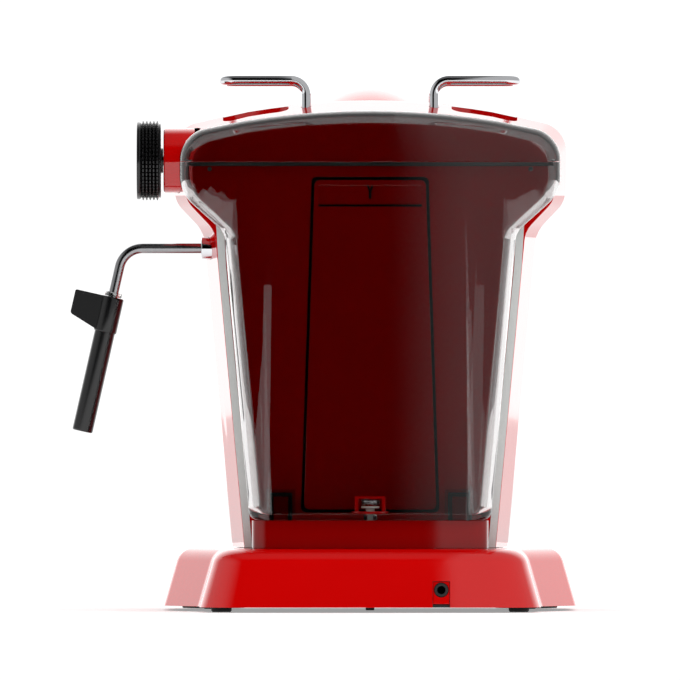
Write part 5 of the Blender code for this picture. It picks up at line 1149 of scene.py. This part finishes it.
axis = (0.0, STEAM_Y, KNOB_Z)
collar = piece("collar", turned([
    (VALVE_SPACE, COLLAR_ROOT, 0.0), (COLLAR_RADIUS, COLLAR_ROOT, 0.0),
    (COLLAR_RADIUS, COLLAR_OUTER, 0.0012), (SPINDLE + 0.0006, COLLAR_OUTER, 0.0),
    (SPINDLE + 0.0006, COLLAR_INNER, 0.0), (VALVE_SPACE, COLLAR_INNER, 0.0),
], axis, "X", 96), red_abs)
fitted(collar, "machine", "gloss_red", "steam_collar")
pitch = (RIDGE_TO - RIDGE_FROM) / RIDGES
root = KNOB_RADIUS - TOOTH_DEPTH
face_radius, sunk = KNOB_FACE
corners = [(SPINDLE + CLEAR_OF, COLLAR_OUTER + CLEAR_OF, 0.0), (KNOB_HUB, COLLAR_OUTER + CLEAR_OF, 0.0003),
           (KNOB_HUB, KNOB_INNER, 0.0), (root, KNOB_INNER, 0.0006)]
for ridge in range(RIDGES):
    start = RIDGE_FROM + ridge * pitch
    corners += [(root - 0.0006, start, 0.0), (root, start + 0.0004, 0.0), (root, start + pitch - 0.0004, 0.0)]
corners += [(root - 0.0006, RIDGE_TO, 0.0), (root, RIDGE_TO + 0.0004, 0.0),
            (KNOB_RADIUS - 0.0006, RIDGE_TO + 0.0008, 0.0004),
            (KNOB_RADIUS - 0.0006, KNOB_OUTER, 0.0008), (face_radius, KNOB_OUTER, 0.0003),
            (face_radius - 0.0010, KNOB_OUTER - sunk, 0.0004), (0.0, KNOB_OUTER - sunk, 0.0),
            (0.0, KNOB_BORE_END, 0.0), (SPINDLE + CLEAR_OF, KNOB_BORE_END, 0.0)]
knob = turned(corners, axis, "X", TEETH)
teeth = []
for face in knob.faces:
    middle = face.calc_center_median() - Vector(axis)
    width = max(vert.co.x for vert in face.verts) - min(vert.co.x for vert in face.verts)
    if middle.yz.length > root - 0.0002 and RIDGE_FROM < middle.x < RIDGE_TO and width > pitch * 0.5:
        teeth.append(face)
bmesh.ops.inset_individual(knob, faces=teeth, thickness=TOOTH_INSET, depth=TOOTH_DEPTH)
knob = piece("knob", knob, polished_black, 25)
fitted(knob, "knob", "black_plastic", "steam_knob")
spindle = piece("spindle", rod(SPINDLE, SPINDLE_START, SPINDLE_END, axis, "X", 0.0003, 32), brushed_steel)
fitted(spindle, "knob", "steel", "valve_spindle")


# ---- Steam wand ----
# The wand is bent stainless tube in a chrome swivel joint. A black sleeve with a thumb tab
# slides on it under a clear ring, so a hot wand can be moved by hand.

WAND_TUBE = 0.00325
WAND_CORNER = 0.1572
WAND_BEND = 0.015
WAND_REACH = 0.0978
WAND_SUNK = 0.018
RING_RADIUS = 0.0056
RING_LENGTH = 0.0030
SLEEVE_PLAY = 0.00035
WAND_LEAN = math.radians(12.8)
JOINT_END = COLUMN_TOP_HALF + 0.0010
SLEEVE_START = 0.0319
SLEEVE_END = 0.1198
SLEEVE_COLLAR = 0.0074
SLEEVE_COLLAR_END = 0.0546
SLEEVE = 0.0066
TAB_REACH = 0.0242
TAB_EDGE = 0.0158
TAB_HALF_THICKNESS = 0.0040

joint = piece("swivel_joint", tube(WAND_JOINT, WAND_TUBE + CLEAR_OF, JOINT_END - 0.020, JOINT_END,
                                   (0.0, STEAM_Y, WAND_Z), "X", 0.0008), chrome)
fitted(joint, "machine", "chrome", "wand_joint")
down = Vector((math.sin(WAND_LEAN), 0.0, -math.cos(WAND_LEAN)))
corner = Vector((WAND_CORNER, STEAM_Y, WAND_Z))
leaning = Matrix.Rotation(math.pi - WAND_LEAN, 4, "Y")

# Polished stainless tube: mirror-like with a faint draw grain every 0.5 mm along it.
steel_tube = mottled("polished_stainless_tube", "#9A9A9C", ("#8E8E90", "#A6A6A8"), 0.0030, 3.0, {
    "Metallic": 1.0, "Roughness": 0.16,
})

wand = wire("wand_pipe", [(JOINT_END - WAND_SUNK, STEAM_Y, WAND_Z), corner, corner + down * WAND_REACH],
            WAND_BEND, WAND_TUBE, steel_tube, 16)
fitted(wand, "wand", "steel", "wand_tube")
band = piece("wand_clear_ring", tube(RING_RADIUS, WAND_TUBE + CLEAR_OF, SLEEVE_START - RING_LENGTH,
                                     SLEEVE_START - CLEAR_OF, corner, leaning, 0.0006, 48), glass)
fitted(band, "wand", "clear_plastic", "wand_ring")
bore = WAND_TUBE + SLEEVE_PLAY
sleeve = piece("grip_sleeve", turned([
    (bore, SLEEVE_START, 0.0003), (SLEEVE_COLLAR, SLEEVE_START, 0.0010),
    (SLEEVE_COLLAR, SLEEVE_COLLAR_END, 0.0006), (SLEEVE, SLEEVE_COLLAR_END + 0.0002, 0.0),
    (SLEEVE, SLEEVE_END, 0.0012), (bore, SLEEVE_END, 0.0003),
], corner, leaning, 64), polished_black)
tab = skin_over([[corner + Vector((math.cos(WAND_LEAN), 0.0, math.sin(WAND_LEAN))) * out + down * along
                  + Vector((0.0, side * TAB_HALF_THICKNESS, 0.0)) for out, along in outline([
                      (SLEEVE_COLLAR - 0.0020, SLEEVE_START + 0.0002, 0.0),
                      (TAB_REACH, SLEEVE_START + 0.0002, 0.0012),
                      (TAB_REACH, SLEEVE_START + TAB_EDGE, 0.0020),
                      (SLEEVE_COLLAR - 0.0020, SLEEVE_COLLAR_END - 0.0003, 0.0),
                  ])] for side in (-1, 1)])
cut(sleeve, tab, "UNION")
eased(sleeve, 0.0006)
fitted(sleeve, "sleeve", "black_plastic", "wand_sleeve")


# ---- Boiler, pump and pipes ----
# Inside the housing: a cast boiler bolted over the group, a vibration pump on a rubber
# mount, silicone hoses, brass steam fittings and the control board.

# Turned brass: warm yellow, its lathe marks near 0.8 mm apart.
brass = mottled("turned_brass", "#D3A95C", ("#C79C4F", "#DDB569"), 0.0008, 2.0, {
    "Metallic": 1.0, "Roughness": 0.28,
})

# Solder mask on glass-fibre board: green lacquer over a 1 mm weave.
board_green, tree, shader = new_material("green_circuit_board", "#1F6B3A", {"Roughness": 0.35})
place = add_node(tree, "ShaderNodeTexCoord").outputs["Object"]
weave = add_node(tree, "ShaderNodeTexChecker", {
    "Vector": place, "Scale": 1 / 0.0010, "Color1": linear("#1C6436"), "Color2": linear("#22723E"),
})
tree.links.new(weave.outputs["Color"], shader.inputs["Base Color"])

for node, material, slot in (
    ("boiler_lower", cast_aluminium, "aluminium"), ("boiler_upper", cast_aluminium, "aluminium"),
    ("pump_body", black_abs, "black_plastic"), ("pump_mount", rubber, "rubber"),
    ("suction_hose", silicone, "silicone"), ("pressure_hose", silicone, "silicone"),
    ("steam_valve_body", brass, "brass"), ("steam_pipe", brass, "brass"),
    ("steam_feed_pipe", brass, "brass"), ("control_board", board_green, "circuit_board"),
):
    kept(node, material)


# ---- Sizes ----

corners = [list(corner) for corner in size_at_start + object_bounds()]
